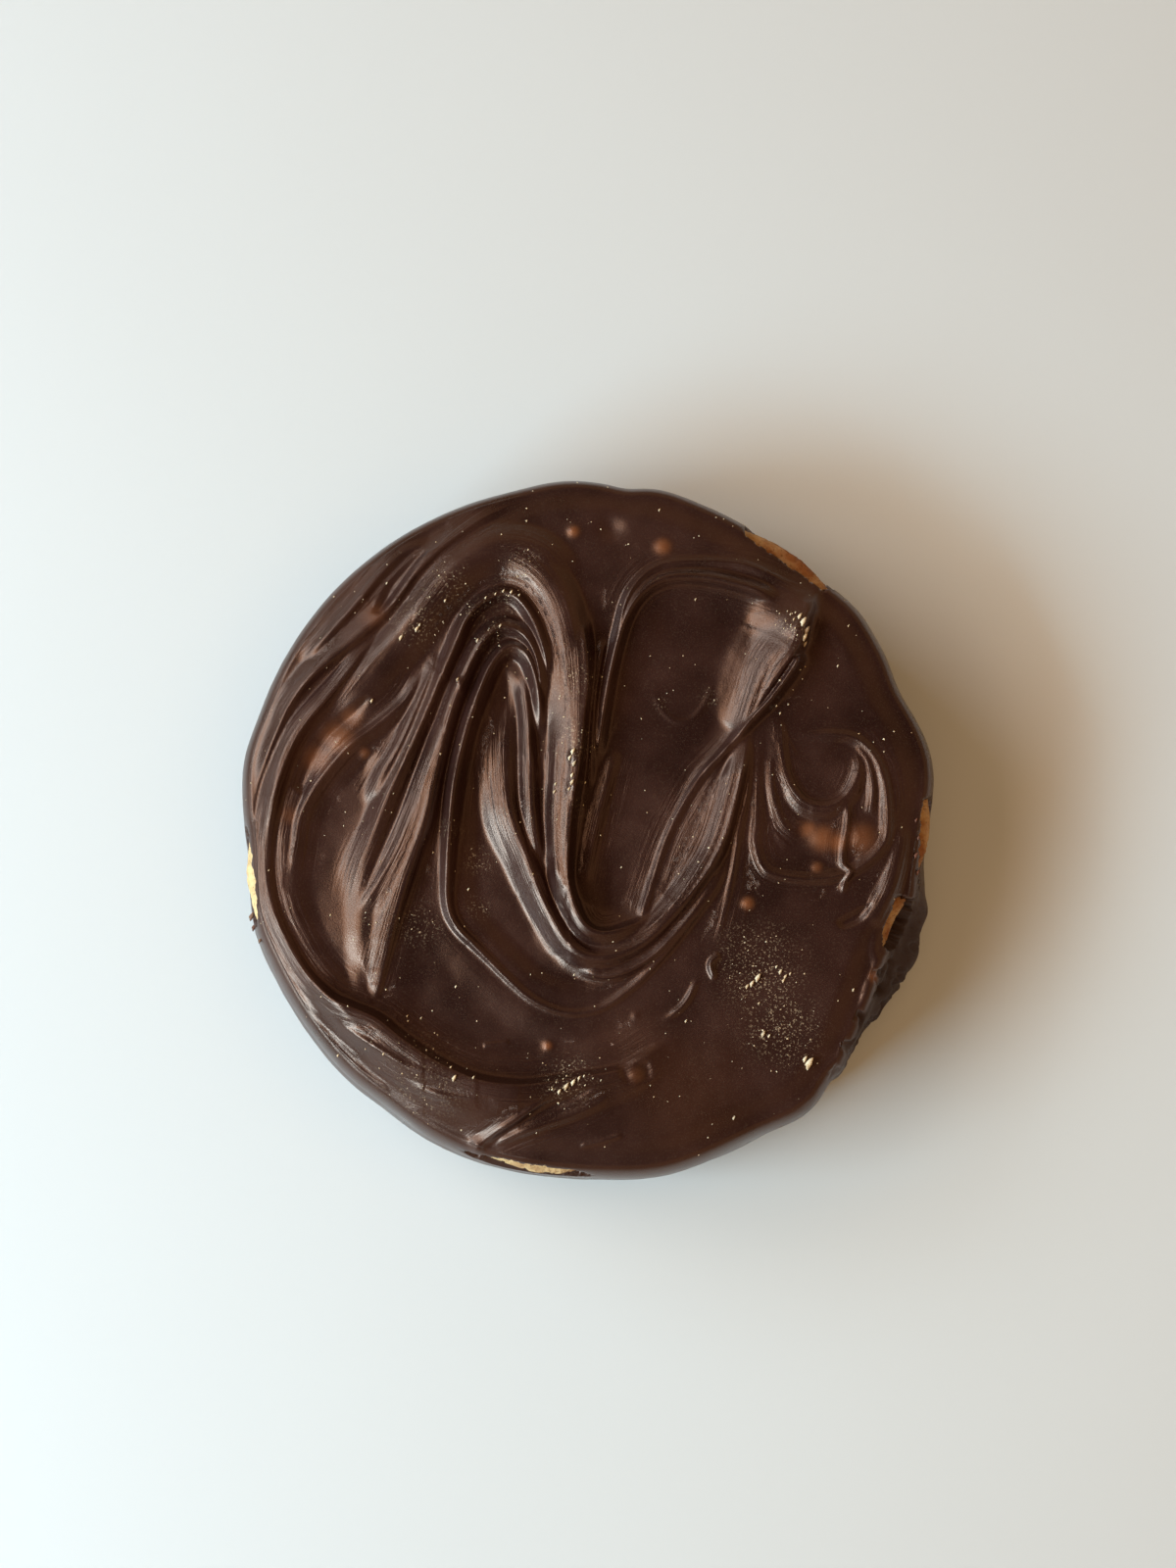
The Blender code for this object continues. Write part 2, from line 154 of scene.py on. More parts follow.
def mixColour(tree, factor, first, second):
    node = addNode(tree, "ShaderNodeMix", data_type="RGBA")
    for place, value in ((0, factor), (6, first), (7, second)):
        feed(tree, node.inputs[place], value)
    return node.outputs[2]


def ramp(tree, factor, low, high, toLow=0.0, toHigh=1.0):
    inputs = {"Value": factor, "From Min": low, "From Max": high, "To Min": toLow, "To Max": toHigh}
    return addNode(tree, "ShaderNodeMapRange", inputs).outputs["Result"]


def maths(tree, operation, first, second):
    node = addNode(tree, "ShaderNodeMath", operation=operation)
    feed(tree, node.inputs[0], first)
    feed(tree, node.inputs[1], second)
    return node.outputs[0]


def noise(tree, place, size, detail=3.0, roughness=0.55):
    # size is the width of the spots in millimetres
    inputs = {"Vector": place, "Scale": 1000.0 / size, "Detail": detail, "Roughness": roughness}
    return addNode(tree, "ShaderNodeTexNoise", inputs).outputs["Fac"]


def grainGroup():
    # Fine surface grain that all the food shares: a mottle for colour, and a height for bump.
    group = bpy.data.node_groups.new("foodGrain", "ShaderNodeTree")
    addSockets(group, "INPUT", {"Grain Size": "Float", "Patch Size": "Float"})
    addSockets(group, "OUTPUT", {"Mottle": "Float", "Height": "Float"})
    start = group.nodes.new("NodeGroupInput")
    end = group.nodes.new("NodeGroupOutput")
    place = addNode(group, "ShaderNodeTexCoord").outputs["Object"]
    fineScale = maths(group, "DIVIDE", 1000.0, start.outputs["Grain Size"])
    wideScale = maths(group, "DIVIDE", 1000.0, start.outputs["Patch Size"])
    fine = addNode(group, "ShaderNodeTexNoise", {"Vector": place, "Scale": fineScale, "Detail": 4.0})
    wide = addNode(group, "ShaderNodeTexNoise", {"Vector": place, "Scale": wideScale, "Detail": 3.0})
    group.links.new(wide.outputs["Fac"], end.inputs["Mottle"])
    group.links.new(fine.outputs["Fac"], end.inputs["Height"])
    return group


foodGrain = grainGroup()


def newMaterial(name):
    made = bpy.data.materials.new(name)
    made.use_nodes = True
    tree = made.node_tree
    return made, tree, tree.nodes["Principled BSDF"]


def placeGrain(tree, grainSize, patchSize):
    inputs = {"Grain Size": grainSize, "Patch Size": patchSize}
    node = addNode(tree, "ShaderNodeGroup", inputs, node_tree=foodGrain)
    return node.outputs["Mottle"], node.outputs["Height"]


def attribute(tree, name):
    return addNode(tree, "ShaderNodeAttribute", attribute_name=name).outputs["Fac"]


def addBump(tree, shader, height, depth):
    # depth in millimetres
    bump = addNode(tree, "ShaderNodeBump", {"Height": height, "Distance": depth * mm, "Strength": 1.0})
    tree.links.new(bump.outputs["Normal"], shader.inputs["Normal"])


chocolateLook = {
    "dark": (0.0145, 0.0044, 0.0033, 1.0),
    "light": (0.025, 0.0078, 0.0056, 1.0),
    "thin": (0.16, 0.052, 0.02, 1.0),
    "dust": (0.30, 0.21, 0.13, 1.0),
    # painted shade: the torn side at the lower right lies in the piece's own shade, and is coloured darker
    # for it
    "torn": (0.009, 0.003, 0.0022, 1.0),
    "mottle": (0.35, 0.65),  # noise between which dark turns to light
    "roughness": (0.27, 0.37),
    "tornRough": 0.45,       # added to the roughness where the side is torn
    "dustRough": 0.1,        # and where dust lies
    "gloss": 0.6,
    "glossTint": (1.0, 0.6, 0.43, 1.0),
    "refraction": 1.62,
    "grain": 0.16,
    "patch": 7.0,
    "grainDepth": 0.018,
    "speck": 0.22,           # width of the dust specks
    "fineSpeck": 0.13,       # and of the fine specks all over
    "bloom": 0.06,           # share of the dust colour in the fine specks
    "streakSize": 0.45,
    "streakLength": 0.035,   # how much the flow lines are drawn out: less is longer
    "streakShare": 8.0,      # height of the flow lines, as a share of the grain's depth
}


def chocolateMaterial():
    values = chocolateLook
    made, tree, shader = newMaterial("chocolate")
    mottle, grain = placeGrain(tree, values["grain"], values["patch"])
    colour = mixColour(tree, ramp(tree, mottle, *values["mottle"]), values["dark"], values["light"])
    torn = attribute(tree, "torn")
    colour = mixColour(tree, attribute(tree, "thin"), colour, values["thin"])
    # painted shade: where the side is torn, its colour is mixed towards a darker brown
    colour = mixColour(tree, torn, colour, values["torn"])
    place = addNode(tree, "ShaderNodeTexCoord").outputs["Object"]
    specks = ramp(tree, noise(tree, place, values["speck"], 2.0), 0.58, 0.66)
    dust = maths(tree, "MULTIPLY", attribute(tree, "dust"), specks)
    bloom = ramp(tree, noise(tree, place, values["fineSpeck"], 2.0), 0.56, 0.68, 0.0, values["bloom"])
    dust = maths(tree, "MAXIMUM", dust, bloom)
    tree.links.new(mixColour(tree, dust, colour, values["dust"]), shader.inputs["Base Color"])
    rough = ramp(tree, mottle, *values["mottle"], *values["roughness"])
    rough = maths(tree, "ADD", rough, maths(tree, "MULTIPLY", torn, values["tornRough"]))
    rough = maths(tree, "ADD", rough, maths(tree, "MULTIPLY", dust, values["dustRough"]))
    tree.links.new(rough, shader.inputs["Roughness"])
    shader.inputs["Specular IOR Level"].default_value = values["gloss"]
    shader.inputs["Specular Tint"].default_value = values["glossTint"]
    shader.inputs["IOR"].default_value = values["refraction"]
    streaks = maths(tree, "MULTIPLY", flowLines(tree), attribute(tree, "flowFade"))
    height = maths(tree, "ADD", grain, maths(tree, "MULTIPLY", streaks, values["streakShare"]))
    addBump(tree, shader, height, values["grainDepth"])
    return made


def flowLines(tree):
    # Fine lines that follow the swirls: noise drawn out along the flow.
    along = maths(tree, "MULTIPLY", attribute(tree, "flowAlong"), chocolateLook["streakLength"])
    place = addNode(tree, "ShaderNodeCombineXYZ", {"X": attribute(tree, "flow"), "Y": along})
    scale = 1.0 / chocolateLook["streakSize"]
    inputs = {"Vector": place.outputs["Vector"], "Scale": scale, "Detail": 3.0, "Roughness": 0.6}
    return addNode(tree, "ShaderNodeTexNoise", inputs).outputs["Fac"]


biscuitLook = {
    "pale": (0.66, 0.43, 0.2, 1.0),
    "brown": (0.25, 0.085, 0.022, 1.0),
    "pore": (0.12, 0.04, 0.012, 1.0),
    "roughness": 0.82,
    "gloss": 0.25,
    "grain": 0.3,
    "patch": 2.2,
    "grainDepth": 0.12,
}


def biscuitMaterial():
    values = biscuitLook
    made, tree, shader = newMaterial("bakedBiscuit")
    mottle, grain = placeGrain(tree, values["grain"], values["patch"])
    # the brown mark holds the baked browning and the painted shade round the biscuit's side
    bake = maths(tree, "ADD", attribute(tree, "bake"), ramp(tree, mottle, 0.4, 0.7, -0.25, 0.35))
    bake = ramp(tree, bake, 0.0, 1.0)
    colour = mixColour(tree, bake, values["pale"], values["brown"])
    colour = mixColour(tree, ramp(tree, grain, 0.42, 0.3, 0.0, 0.7), colour, values["pore"])
    tree.links.new(colour, shader.inputs["Base Color"])
    shader.inputs["Roughness"].default_value = values["roughness"]
    shader.inputs["Specular IOR Level"].default_value = values["gloss"]
    addBump(tree, shader, grain, values["grainDepth"])
    return made


caramelLook = {
    "deep": (0.27, 0.115, 0.03, 1.0),
    "light": (0.4, 0.2, 0.065, 1.0),
    "roughness": (0.38, 0.5),
    "glow": 0.15,            # share of the light that passes through
    "glowReach": (0.0008, 0.0004, 0.0002),
    "grain": 0.5,
    "patch": 3.0,
    "grainDepth": 0.04,
}


def caramelMaterial():
    values = caramelLook
    made, tree, shader = newMaterial("caramel")
    mottle, grain = placeGrain(tree, values["grain"], values["patch"])
    colour = mixColour(tree, ramp(tree, mottle, 0.35, 0.65), values["deep"], values["light"])
    tree.links.new(colour, shader.inputs["Base Color"])
    tree.links.new(ramp(tree, grain, 0.3, 0.7, *values["roughness"]), shader.inputs["Roughness"])
    shader.inputs["Subsurface Weight"].default_value = values["glow"]
    shader.inputs["Subsurface Radius"].default_value = values["glowReach"]
    addBump(tree, shader, grain, values["grainDepth"])
    return made


crumbLook = {
    "cream": (0.72, 0.56, 0.36, 1.0),
    "gold": (0.42, 0.22, 0.08, 1.0),
    "brown": (0.12, 0.035, 0.012, 1.0),
    "roughness": 0.7,
    "grain": 0.12,
    "patch": 0.9,
    "grainDepth": 0.04,
}


def crumbMaterial():
    values = crumbLook
    made, tree, shader = newMaterial("paleCrumb")
    mottle, grain = placeGrain(tree, values["grain"], values["patch"])
    colour = mixColour(tree, ramp(tree, mottle, 0.42, 0.62, 0.0, 0.6), values["cream"], values["gold"])
    colour = mixColour(tree, ramp(tree, attribute(tree, "tone"), 0.2, 1.0), colour, values["brown"])
    tree.links.new(colour, shader.inputs["Base Color"])
    shader.inputs["Roughness"].default_value = values["roughness"]
    addBump(tree, shader, grain, values["grainDepth"])
    return made


floorValues = {
    "half": 1500.0,          # half width of the floor
    "dark": (0.55, 0.525, 0.495, 1.0),
    "light": (0.58, 0.555, 0.525, 1.0),
    "patch": 90.0,
    "roughness": 0.7,
}


def floorMaterial():
    made, tree, shader = newMaterial("paleFloor")
    place = addNode(tree, "ShaderNodeTexCoord").outputs["Object"]
    soft = noise(tree, place, floorValues["patch"], 2.0)
    colour = mixColour(tree, soft, floorValues["dark"], floorValues["light"])
    tree.links.new(colour, shader.inputs["Base Color"])
    shader.inputs["Roughness"].default_value = floorValues["roughness"]
    return made


# Curves and smooth shapes


def smoothStep(low, high, value):
    t = np.clip((value - low) / (high - low), 0.0, 1.0)
    return t * t * (3.0 - 2.0 * t)


def curveThrough(points, steps=8):
    knots = np.array(points, float)
    ends = np.vstack([2 * knots[0] - knots[1], knots, 2 * knots[-1] - knots[-2]])
    t = np.linspace(0.0, 1.0, steps, endpoint=False)[:, None]
    parts = []
    for i in range(len(knots) - 1):
        a, b, c, d = ends[i:i + 4]
        parts.append(0.5 * (2 * b + (c - a) * t + (2 * a - 5 * b + 4 * c - d) * t ** 2
                            + (3 * b - a - 3 * c + d) * t ** 3))
    parts.append(knots[-1:])
    return np.vstack(parts)


def nearestOn(path, x, y):
    # Distance to a path, side of it (+1 left, -1 right), place along it, and the way across it to its left.
    best = np.full(x.shape, 1e9)
    side = np.ones(x.shape)
    along = np.zeros(x.shape)
    acrossX = np.zeros(x.shape)
    acrossY = np.zeros(x.shape)
    lengths = np.hypot(*np.diff(path, axis=0).T)
    reached = np.concatenate([[0.0], np.cumsum(lengths)])
    for i, length in enumerate(lengths):
        (ax, ay), (bx, by) = path[i], path[i + 1]
        ux, uy = (bx - ax) / length, (by - ay) / length
        t = np.clip((x - ax) * ux + (y - ay) * uy, 0.0, length)
        dx, dy = x - ax - t * ux, y - ay - t * uy
        distance = np.hypot(dx, dy)
        closer = distance < best
        best = np.where(closer, distance, best)
        side = np.where(closer, np.where(ux * dy - uy * dx >= 0, 1.0, -1.0), side)
        along = np.where(closer, (reached[i] + t) / reached[-1], along)
        acrossX = np.where(closer, -uy, acrossX)
        acrossY = np.where(closer, ux, acrossY)
    return best, side, along, acrossX, acrossY


def spread(value, along):
    # A single value, or values spaced evenly along a path.
    if isinstance(value, (int, float)):
        return np.full(along.shape, float(value))
    return np.interp(along, np.linspace(0.0, 1.0, len(value)), value)


rng = np.random.default_rng(7)
noiseOrder = rng.permutation(256)
noiseValues = rng.uniform(-1.0, 1.0, 256)


def lumpy(x, y, z, size, seed=0):
    # Smooth random field from -1 to 1 with lumps about size across.
    corners = []
    parts = []
    for value, shift in ((x, 11.3), (y, 37.7), (z, 71.9)):
        scaled = np.asarray(value, float) / size + shift + seed * 5.17
        low = np.floor(scaled).astype(int)
        t = scaled - low
        corners.append(low)
        parts.append(t * t * (3.0 - 2.0 * t))
    total = 0.0
    for i in (0, 1):
        for j in (0, 1):
            for k in (0, 1):
                place = noiseOrder[(corners[0] + i) & 255]
                place = noiseOrder[(place + corners[1] + j) & 255]
                place = noiseOrder[(place + corners[2] + k) & 255]
                weight = 1.0
                for part, step in zip(parts, (i, j, k)):
                    weight = weight * (part if step else 1.0 - part)
                total = total + noiseValues[place] * weight
    return total


def fractal(x, y, z, size, layers=3, seed=0):
    total = 0.0
    for layer in range(layers):
        total = total + lumpy(x, y, z, size / 2 ** layer, seed + layer) / 2 ** layer
    return total


# The coat: outline, sides and swirls

upperLow, upperHigh = (corner * 1000.0 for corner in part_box("upper_biscuit"))
lowerLow, lowerHigh = (corner * 1000.0 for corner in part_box("lower_biscuit"))
fillingLow, fillingHigh = (corner * 1000.0 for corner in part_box("caramel_filling"))

outlineValues = {
    "radius": 36.2,
    # bumps and flats: angle, how far out, half width
    "bumps": (
        (11, 0.45, 6), (24, -0.5, 5), (39, 0.3, 5), (55, -0.4, 9), (78, 0.35, 6), (84, -0.3, 3),
        (94, 0.45, 7), (140, 0.9, 45), (169, 0.4, 6), (184, -0.45, 6), (197, 0.25, 6), (234, -0.25, 6),
        (262, -0.15, 12), (281, 0.15, 6), (307, 0.35, 5), (313, -0.2, 3), (316, 0.25, 2), (325, -0.7, 8),
        (338, 0.3, 3), (347, 0.25, 2), (356, -1.0, 8),
    ),
}

coatValues = {
    "topRings": 200,
    "sideRows": 56,
    "triangles": 192000,   # the finished skin is thinned to this many
    "topLevel": 17.8,
    "dome": 0.5,           # how much higher the middle is than the rim
    "rimInset": 1.9,
    "rimHeight": 17.2,
    "edgeFall": 0.5,       # how far the top falls at the rim, and over what width
    "edgeFallWidth": 3.0,
    "rimShare": 0.45,      # share of the swirls that is left at the rim, and the lowest relief there
    "rimLowest": -0.3,
    "crestRadius": 0.07,
    "valley": 0.3,         # how much the valleys between crests are filled
    "streakReach": 3.2,    # how far the fine lines beside a crest reach
    "softCells": 2,        # cells over which the relief is blurred, and the share of the blur
    "softShare": 0.4,
    "uneven": ((0.12, 7.0, 3), (0.03, 1.4, 9)),  # slow and fine waves of the top: height, size, seed
    "waves": 0.1,          # how wavy the side is
    "crumbs": 0.06,        # share of the small crumbs that lies on the clean parts of the top
    "sunkInward": 0.8,     # how far the skin dips under the layers where the coat is broken away
    "sunkBelow": 0.9,
    # side of the coat: inset from the outline and height, from the top edge down
    "side": (
        (1.45, 16.4), (1.1, 15.85), (0.8, 15.0), (0.6, 13.9), (0.5, 12.4), (0.45, 11.0), (0.2, 9.4),
        (0.0, 7.4), (0.05, 5.4), (0.35, 3.6), (0.95, 1.8), (1.9, 0.7), (3.0, 0.15), (4.2, 0.0),
    ),
    # how far the upper edge stands back, or out where it is below 0: angle, distance, half width
    "setbacks": ((90, -0.3, 40), (255, -0.4, 14), (283, -0.6, 14), (307, -0.7, 8), (338, 2.2, 11)),
    "setbackEnds": (9.0, 12.5),
    "lumps": (318, 352, 0.12, 5),  # from angle, to angle, depth, number
    # where the side is torn; the mark made from this table also places painted shade there, a darker colour
    # in the coat
    "torn": ((328, 1.1, 12), (344, 0.6, 7)),  # angle, depth, half width
    "tornOut": 0.15,       # how far the torn side stands out, as a share of its depth
}

swirlOrigin = (-0.4, -0.8)

# Crests of the swirls. height, left, right: one value, or values along the crest; left and right are the
# widths of its flanks. bend: 1 is a straight flank, more is hollow. round: how blunt the crest is, for
# both flanks or for left and right. lean: how far it curls over its steep side. over: how much of the
# relief below is added to it, where it rides on a flank. taper: length of its ends, as a share of its
# path. streak, streakReach: strength and reach of the fine lines beside it, where they aren't the usual.
swirlCrests = {
    "centre": {
        "height": (0.9, 2.0, 2.0, 1.9, 1.7, 1.6, 1.4, 1.1), "left": (1.4, 0.9, 0.8),
        "right": (4.4, 4.6, 4.2, 3.4, 2.6, 2.1, 1.5, 1.2), "round": (0.1, 0.7), "lean": 0.2,
        "path": [(-0.9, 24), (-0.1, 16), (-0.5, 11.5), (-0.9, 7), (-1.7, 2), (-2.1, -3.5), (-1.8, -6.5),
                 (-0.3, -9.8), (2, -10.7), (5.3, -9.6), (7.2, -8.1)]},
    "centre line": {
        "height": (0.2, 0.35, 0.35, 0.3), "left": 0.5, "right": 0.5, "bend": 1.6, "over": 1.0,
        "path": [(-3.1, 10), (-3.3, 6), (-3.5, 2), (-3.4, -2), (-2.9, -6)]},
    "arch slope": {
        "height": (0.5, 1.1, 1.4, 1.5, 1.4, 0.9), "left": (3.0, 3.0, 2.2, 1.6),
        "right": (4.0, 4.2, 4.2, 4.0), "round": 1.0,
        "path": [(-14, 26.8), (-9.2, 29), (-5.6, 27.8), (-3.0, 24.6), (-1.6, 20.4), (-1.0, 15),
                 (-1.0, 9)]},
    "hollow fold": {
        "height": (0.3, 0.8, 1.3, 1.5, 1.4, 1.2, 0.9, 0.85, 0.95, 1.05, 1.05, 1.0, 0.9, 0.6),
        "left": (1.4, 1.8, 1.3, 1.1, 1.0, 1.2, 1.8, 2.3, 2.3, 2.2, 1.8),
        "right": (2.0, 3.6, 3.6, 2.8, 1.8, 1.3, 1.0, 0.8, 0.7, 0.7), "round": (0.3, 0.75), "bend": 1.15,
        "taper": 0.09,
        "path": [(-8.1, 16.2), (-8.3, 12), (-8.4, 7), (-8.1, 3), (-7.3, 0), (-6.2, -2.6), (-4.9, -6),
                 (-3.7, -8.6), (-2.2, -11.2), (-0.2, -12.8), (2.4, -12.9), (5.6, -11.5), (8.5, -8.8),
                 (10.9, -6.1), (13.1, -3), (14.4, 0.2), (15.3, 3.6), (16.1, 7.1), (16.6, 11)]},
    "ribbon line": {
        "height": (0.1, 0.25, 0.25, 0.2, 0.1), "left": 0.5, "right": 0.6, "bend": 1.5, "over": 1.0,
        "path": [(1.4, -12), (4.8, -11), (8, -8.5), (10.4, -5.4), (12.6, -1.4), (14.2, 3.6), (15.3, 8)]},
    "ribbon under": {
        "height": (0.3, 0.8, 0.9, 0.6, 0.3), "left": 0.9, "right": 0.6, "bend": 1.3,
        "path": [(-1.6, -13.9), (2, -14.9), (6, -13.4), (9.4, -10.2), (12.2, -6.4), (14, -2.6)]},
    "small hollow fold": {
        "height": (0.3, 0.9, 1.0, 0.6), "left": 0.9, "right": 1.6, "round": 0.7,
        "path": [(-6.6, 16.2), (-6.0, 11), (-5.8, 6), (-5.5, 1), (-4.8, -3.5)]},
    "outer arch": {
        "height": (0.2, 0.7, 1.0, 1.3, 1.5, 1.6, 1.6, 1.1), "left": (2.6, 1.8, 1.4, 1.2, 1.2, 1.4),
        "right": (1.8, 1.4, 1.0, 0.8, 0.8), "bend": 1.2, "lean": 0.1, "round": (0.4, 0.1),
        "path": [(-24.3, -8.6), (-23.4, -4.2), (-22, -0.8), (-20.2, 3.6), (-18.4, 7.6), (-16.8, 11.3),
                 (-14.9, 15.9), (-13.5, 19.2), (-12.4, 21.8), (-11, 23.4), (-9.2, 24.4), (-7.6, 24.2),
                 (-6.2, 22.8), (-5, 20.4), (-4.1, 17), (-3.9, 13)]},
    "fan fold": {
        "height": (0.2, 0.7, 0.8, 0.6, 0.2), "left": 1.4, "right": 1.0, "round": 0.4,
        "path": [(-15.4, 18.6), (-16.4, 15.4), (-17.6, 12.4), (-19, 9.2), (-20.8, 6), (-22.8, 2.4)]},
    "fan second": {
        "height": (0.2, 0.7, 0.9, 0.7, 0.2), "left": 1.0, "right": 0.8, "bend": 1.2, "round": 0.2,
        "path": [(-15.2, 9.6), (-16.4, 5.6), (-17.9, 1.4), (-19.4, -2.2), (-21.2, -5.6), (-23.2, -8.6)]},
    "middle arch": {
        "height": (0.2, 0.6, 1.2, 1.5, 1.5, 1.5, 1.5, 1.4, 1.0),
        "left": (0.6, 2.2, 3.8, 2.8, 1.8, 1.5, 1.3, 1.0), "right": (0.6, 0.8, 0.9, 0.8, 0.7),
        "bend": 1.05, "lean": 0.12, "round": (0.6, 0.0), "taper": 0.07,
        "path": [(-21.8, -18.4), (-21.2, -16), (-20.5, -13.2), (-19.7, -10), (-18.6, -6.2),
                 (-17.4, -2.4), (-16.4, 0.8), (-15.6, 5), (-14.4, 10.2), (-13, 14.6), (-11.4, 18.2),
                 (-9.9, 20.2), (-8.4, 20.9), (-6.6, 20.2), (-5.3, 18.2), (-4.7, 15.4), (-4.6, 12)]},
    "inner arch": {
        "height": (0.3, 0.45, 0.5, 0.45, 0.4, 0.4, 0.55, 1.0, 1.6, 1.8, 1.9, 1.8, 1.7, 1.4, 0.9),
        "left": (0.6, 0.5, 0.45, 0.5, 0.9, 1.2, 1.0, 0.9), "right": (0.6, 0.5, 0.5, 0.6, 1.2, 1.1, 0.8),
        "bend": 1.1, "lean": 0.1, "taper": 0.06, "streak": (0.3, 0.2, 0.1, 0.3, 1.0, 1.0, 1.0),
        "path": [(14.6, -1.6), (13, -5.8), (9.6, -10.5), (6.7, -13.9), (4.4, -16.1), (1.6, -18),
                 (-0.8, -18.6), (-2.9, -18.4), (-5.4, -17.3), (-7.5, -15.6), (-10.9, -12.2),
                 (-13.2, -9.8), (-14.1, -7.4), (-14.1, -3.5), (-13.9, 0), (-13.5, 4.4), (-12.7, 8.3),
                 (-11.8, 11.6), (-10.8, 14.4), (-9.6, 17), (-8, 18.7), (-6.4, 18), (-5.4, 15.8),
                 (-4.9, 12.4), (-5.0, 9)]},
    "tip ridge": {
        "height": (2.7, 2.1, 1.4, 0.85, 0.6, 0.5, 0.45, 0.4, 0.3), "left": (0.8, 0.7, 0.6, 0.6),
        "right": (0.9, 0.8, 0.6, 0.5, 0.5), "bend": 1.1, "lean": 0.1, "taper": 0.05,
        "path": [(22.2, 18.6), (21, 16.3), (18.8, 13.3), (16.7, 11.1), (13.8, 7.8), (11.7, 5.6),
                 (9.6, 2.2), (7.9, -1.4), (6.4, -6), (5.4, -9.4)]},
    "tongue": {
        "height": (0.0, 0.7, 1.9, 2.1, 1.6, 1.0, 0.5), "left": (1.2, 0.8),
        "right": (4.0, 5.5, 7.0, 7.8, 7.4, 6.0, 3.4), "round": (0.1, 0.3), "bend": 1.9, "taper": 0.05,
        "path": [(25, 28), (23.6, 24.8), (22.5, 21.8), (21.7, 19), (20, 16.4), (17.8, 13.2),
                 (15.8, 9.6)]},
    "tongue fold": {
        "height": (0.1, 0.25, 0.3, 0.3, 0.2), "left": 0.7, "right": (1.6, 1.4, 1.0), "round": 0.2,
        "over": 1.0,
        "path": [(19.6, 19.4), (18.1, 17.2), (17, 14), (16.2, 11.4), (15.3, 8.6)]},
    "loop outer": {
        "height": (0.5, 1.0, 1.1, 0.8, 0.6, 0.5, 0.4, 0.2), "left": 0.7, "right": 0.7, "bend": 1.2,
        "path": [(1.4, 12.4), (2.5, 17.1), (3.3, 20.9), (4.1, 23.9), (5.4, 26), (7.1, 27.3), (9.2, 27.9),
                 (13, 28), (15.9, 27.7), (18, 27.1), (20.9, 25.8), (24.4, 24)]},
    "loop inner": {
        "height": (0.4, 1.0, 1.3, 1.3, 1.2, 1.2, 1.3, 1.2, 0.6), "left": (0.8, 0.9, 1.6, 1.6),
        "right": (1.0, 0.9, 0.8), "round": 0.3,
        "path": [(0.8, 6), (1.5, 11), (2.3, 15.8), (3.1, 19.2), (4.1, 22.2), (5.4, 24.3), (7.1, 25.6),
                 (9.2, 26.2), (12.5, 26.1), (15.9, 25.3), (18.4, 24.4), (21.4, 22.8)]},
    "thin ridge": {
        "height": (0.3, 0.8, 0.8, 0.3), "left": 0.5, "right": 0.5, "bend": 1.1,
        "path": [(0.3, 4), (0.5, 9), (0.8, 13.6), (1.3, 17.4), (1.8, 20.4)]},
    "trough crease": {
        "height": (0.2, 0.5, 0.6, 0.3), "left": 1.4, "right": 0.7, "bend": 1.2, "round": 0.3,
        "path": [(-0.2, -5.8), (0.5, -2), (1.3, 1.4), (2.2, 5), (3.2, 8.6)]},
    "shoulder": {
        "height": (0.5, 1.1, 1.5, 1.6, 1.4, 0.8), "left": (2.4, 3.0, 3.4), "right": (3.2, 3.6, 3.4),
        "round": 1.0,
        "path": [(-26.5, 11.5), (-22.4, 16), (-19, 20), (-16, 24), (-13, 27.4), (-9, 29.4), (-5, 28.6),
                 (-2, 25)]},
    "leaf edge": {
        "height": (0.1, 0.3, 0.6, 0.8, 0.6, 0.3), "left": 0.7, "right": 1.2, "bend": 1.3,
        "path": [(-30.4, -5.4), (-29.7, -1.5), (-29.2, 1.6), (-27.4, 5), (-24.6, 8.4), (-21.6, 10.8),
                 (-18.8, 13.4), (-16.6, 17)]},
    "left rim": {
        "height": (0.5, 1.1, 1.6, 1.9, 2.0, 1.8, 1.6, 1.4, 1.3, 1.1, 0.6),
        "left": (2.4, 4.4, 6.5, 6.0, 4.6, 3.0, 2.2, 1.8, 1.6), "right": (0.8, 0.8, 0.9, 0.9, 1.0, 1.2),
        "bend": 1.1, "lean": 0.1, "round": (0.5, 0.0), "taper": 0.07, "streakReach": 5.0,
        "path": [(9.6, -20.9), (6.7, -22.5), (3.3, -24.4), (-0.8, -25.2), (-3.3, -25.6), (-6.7, -26),
                 (-10.9, -25.5), (-15.1, -23.7), (-18.6, -21.4), (-21.2, -19.4), (-23.9, -18.2),
                 (-26, -17.2), (-28.5, -14.7), (-30.6, -11.3), (-32.1, -7.9), (-32.8, -4), (-32.6, 0.4),
                 (-31.6, 4.9), (-29.5, 10), (-25.4, 15.2), (-22.6, 19), (-20.2, 21.2)]},
    "outer sweep": {
        "height": (0.2, 0.7, 0.9, 0.9, 0.9, 1.0, 1.0, 1.0, 0.7, 0.4), "left": (0.6, 0.7, 0.6),
        "right": (2.0, 2.4, 1.8), "bend": 1.15, "round": (0.0, 0.4),
        "path": [(-5.4, 35.3), (-10, 33.2), (-13.4, 30.7), (-15.9, 28.5), (-18, 26.2), (-20.4, 22.9),
                 (-24.3, 19.3), (-26.8, 17.1), (-28.9, 15.2), (-30.6, 12.8), (-31.9, 9.9), (-32.9, 7.3),
                 (-33.8, 4.6), (-34.2, 1.4), (-33.7, -2), (-32.8, -6)]},
    "upper fold": {
        "height": (0.3, 0.8, 1.0, 0.9, 0.4), "left": 1.4, "right": 0.5, "bend": 1.1,
        "path": [(-29.5, 17.2), (-26.4, 20.6), (-23.8, 23.6), (-21.2, 26.9), (-18.6, 29.4),
                 (-16, 30.4)]},
    "band groove": {
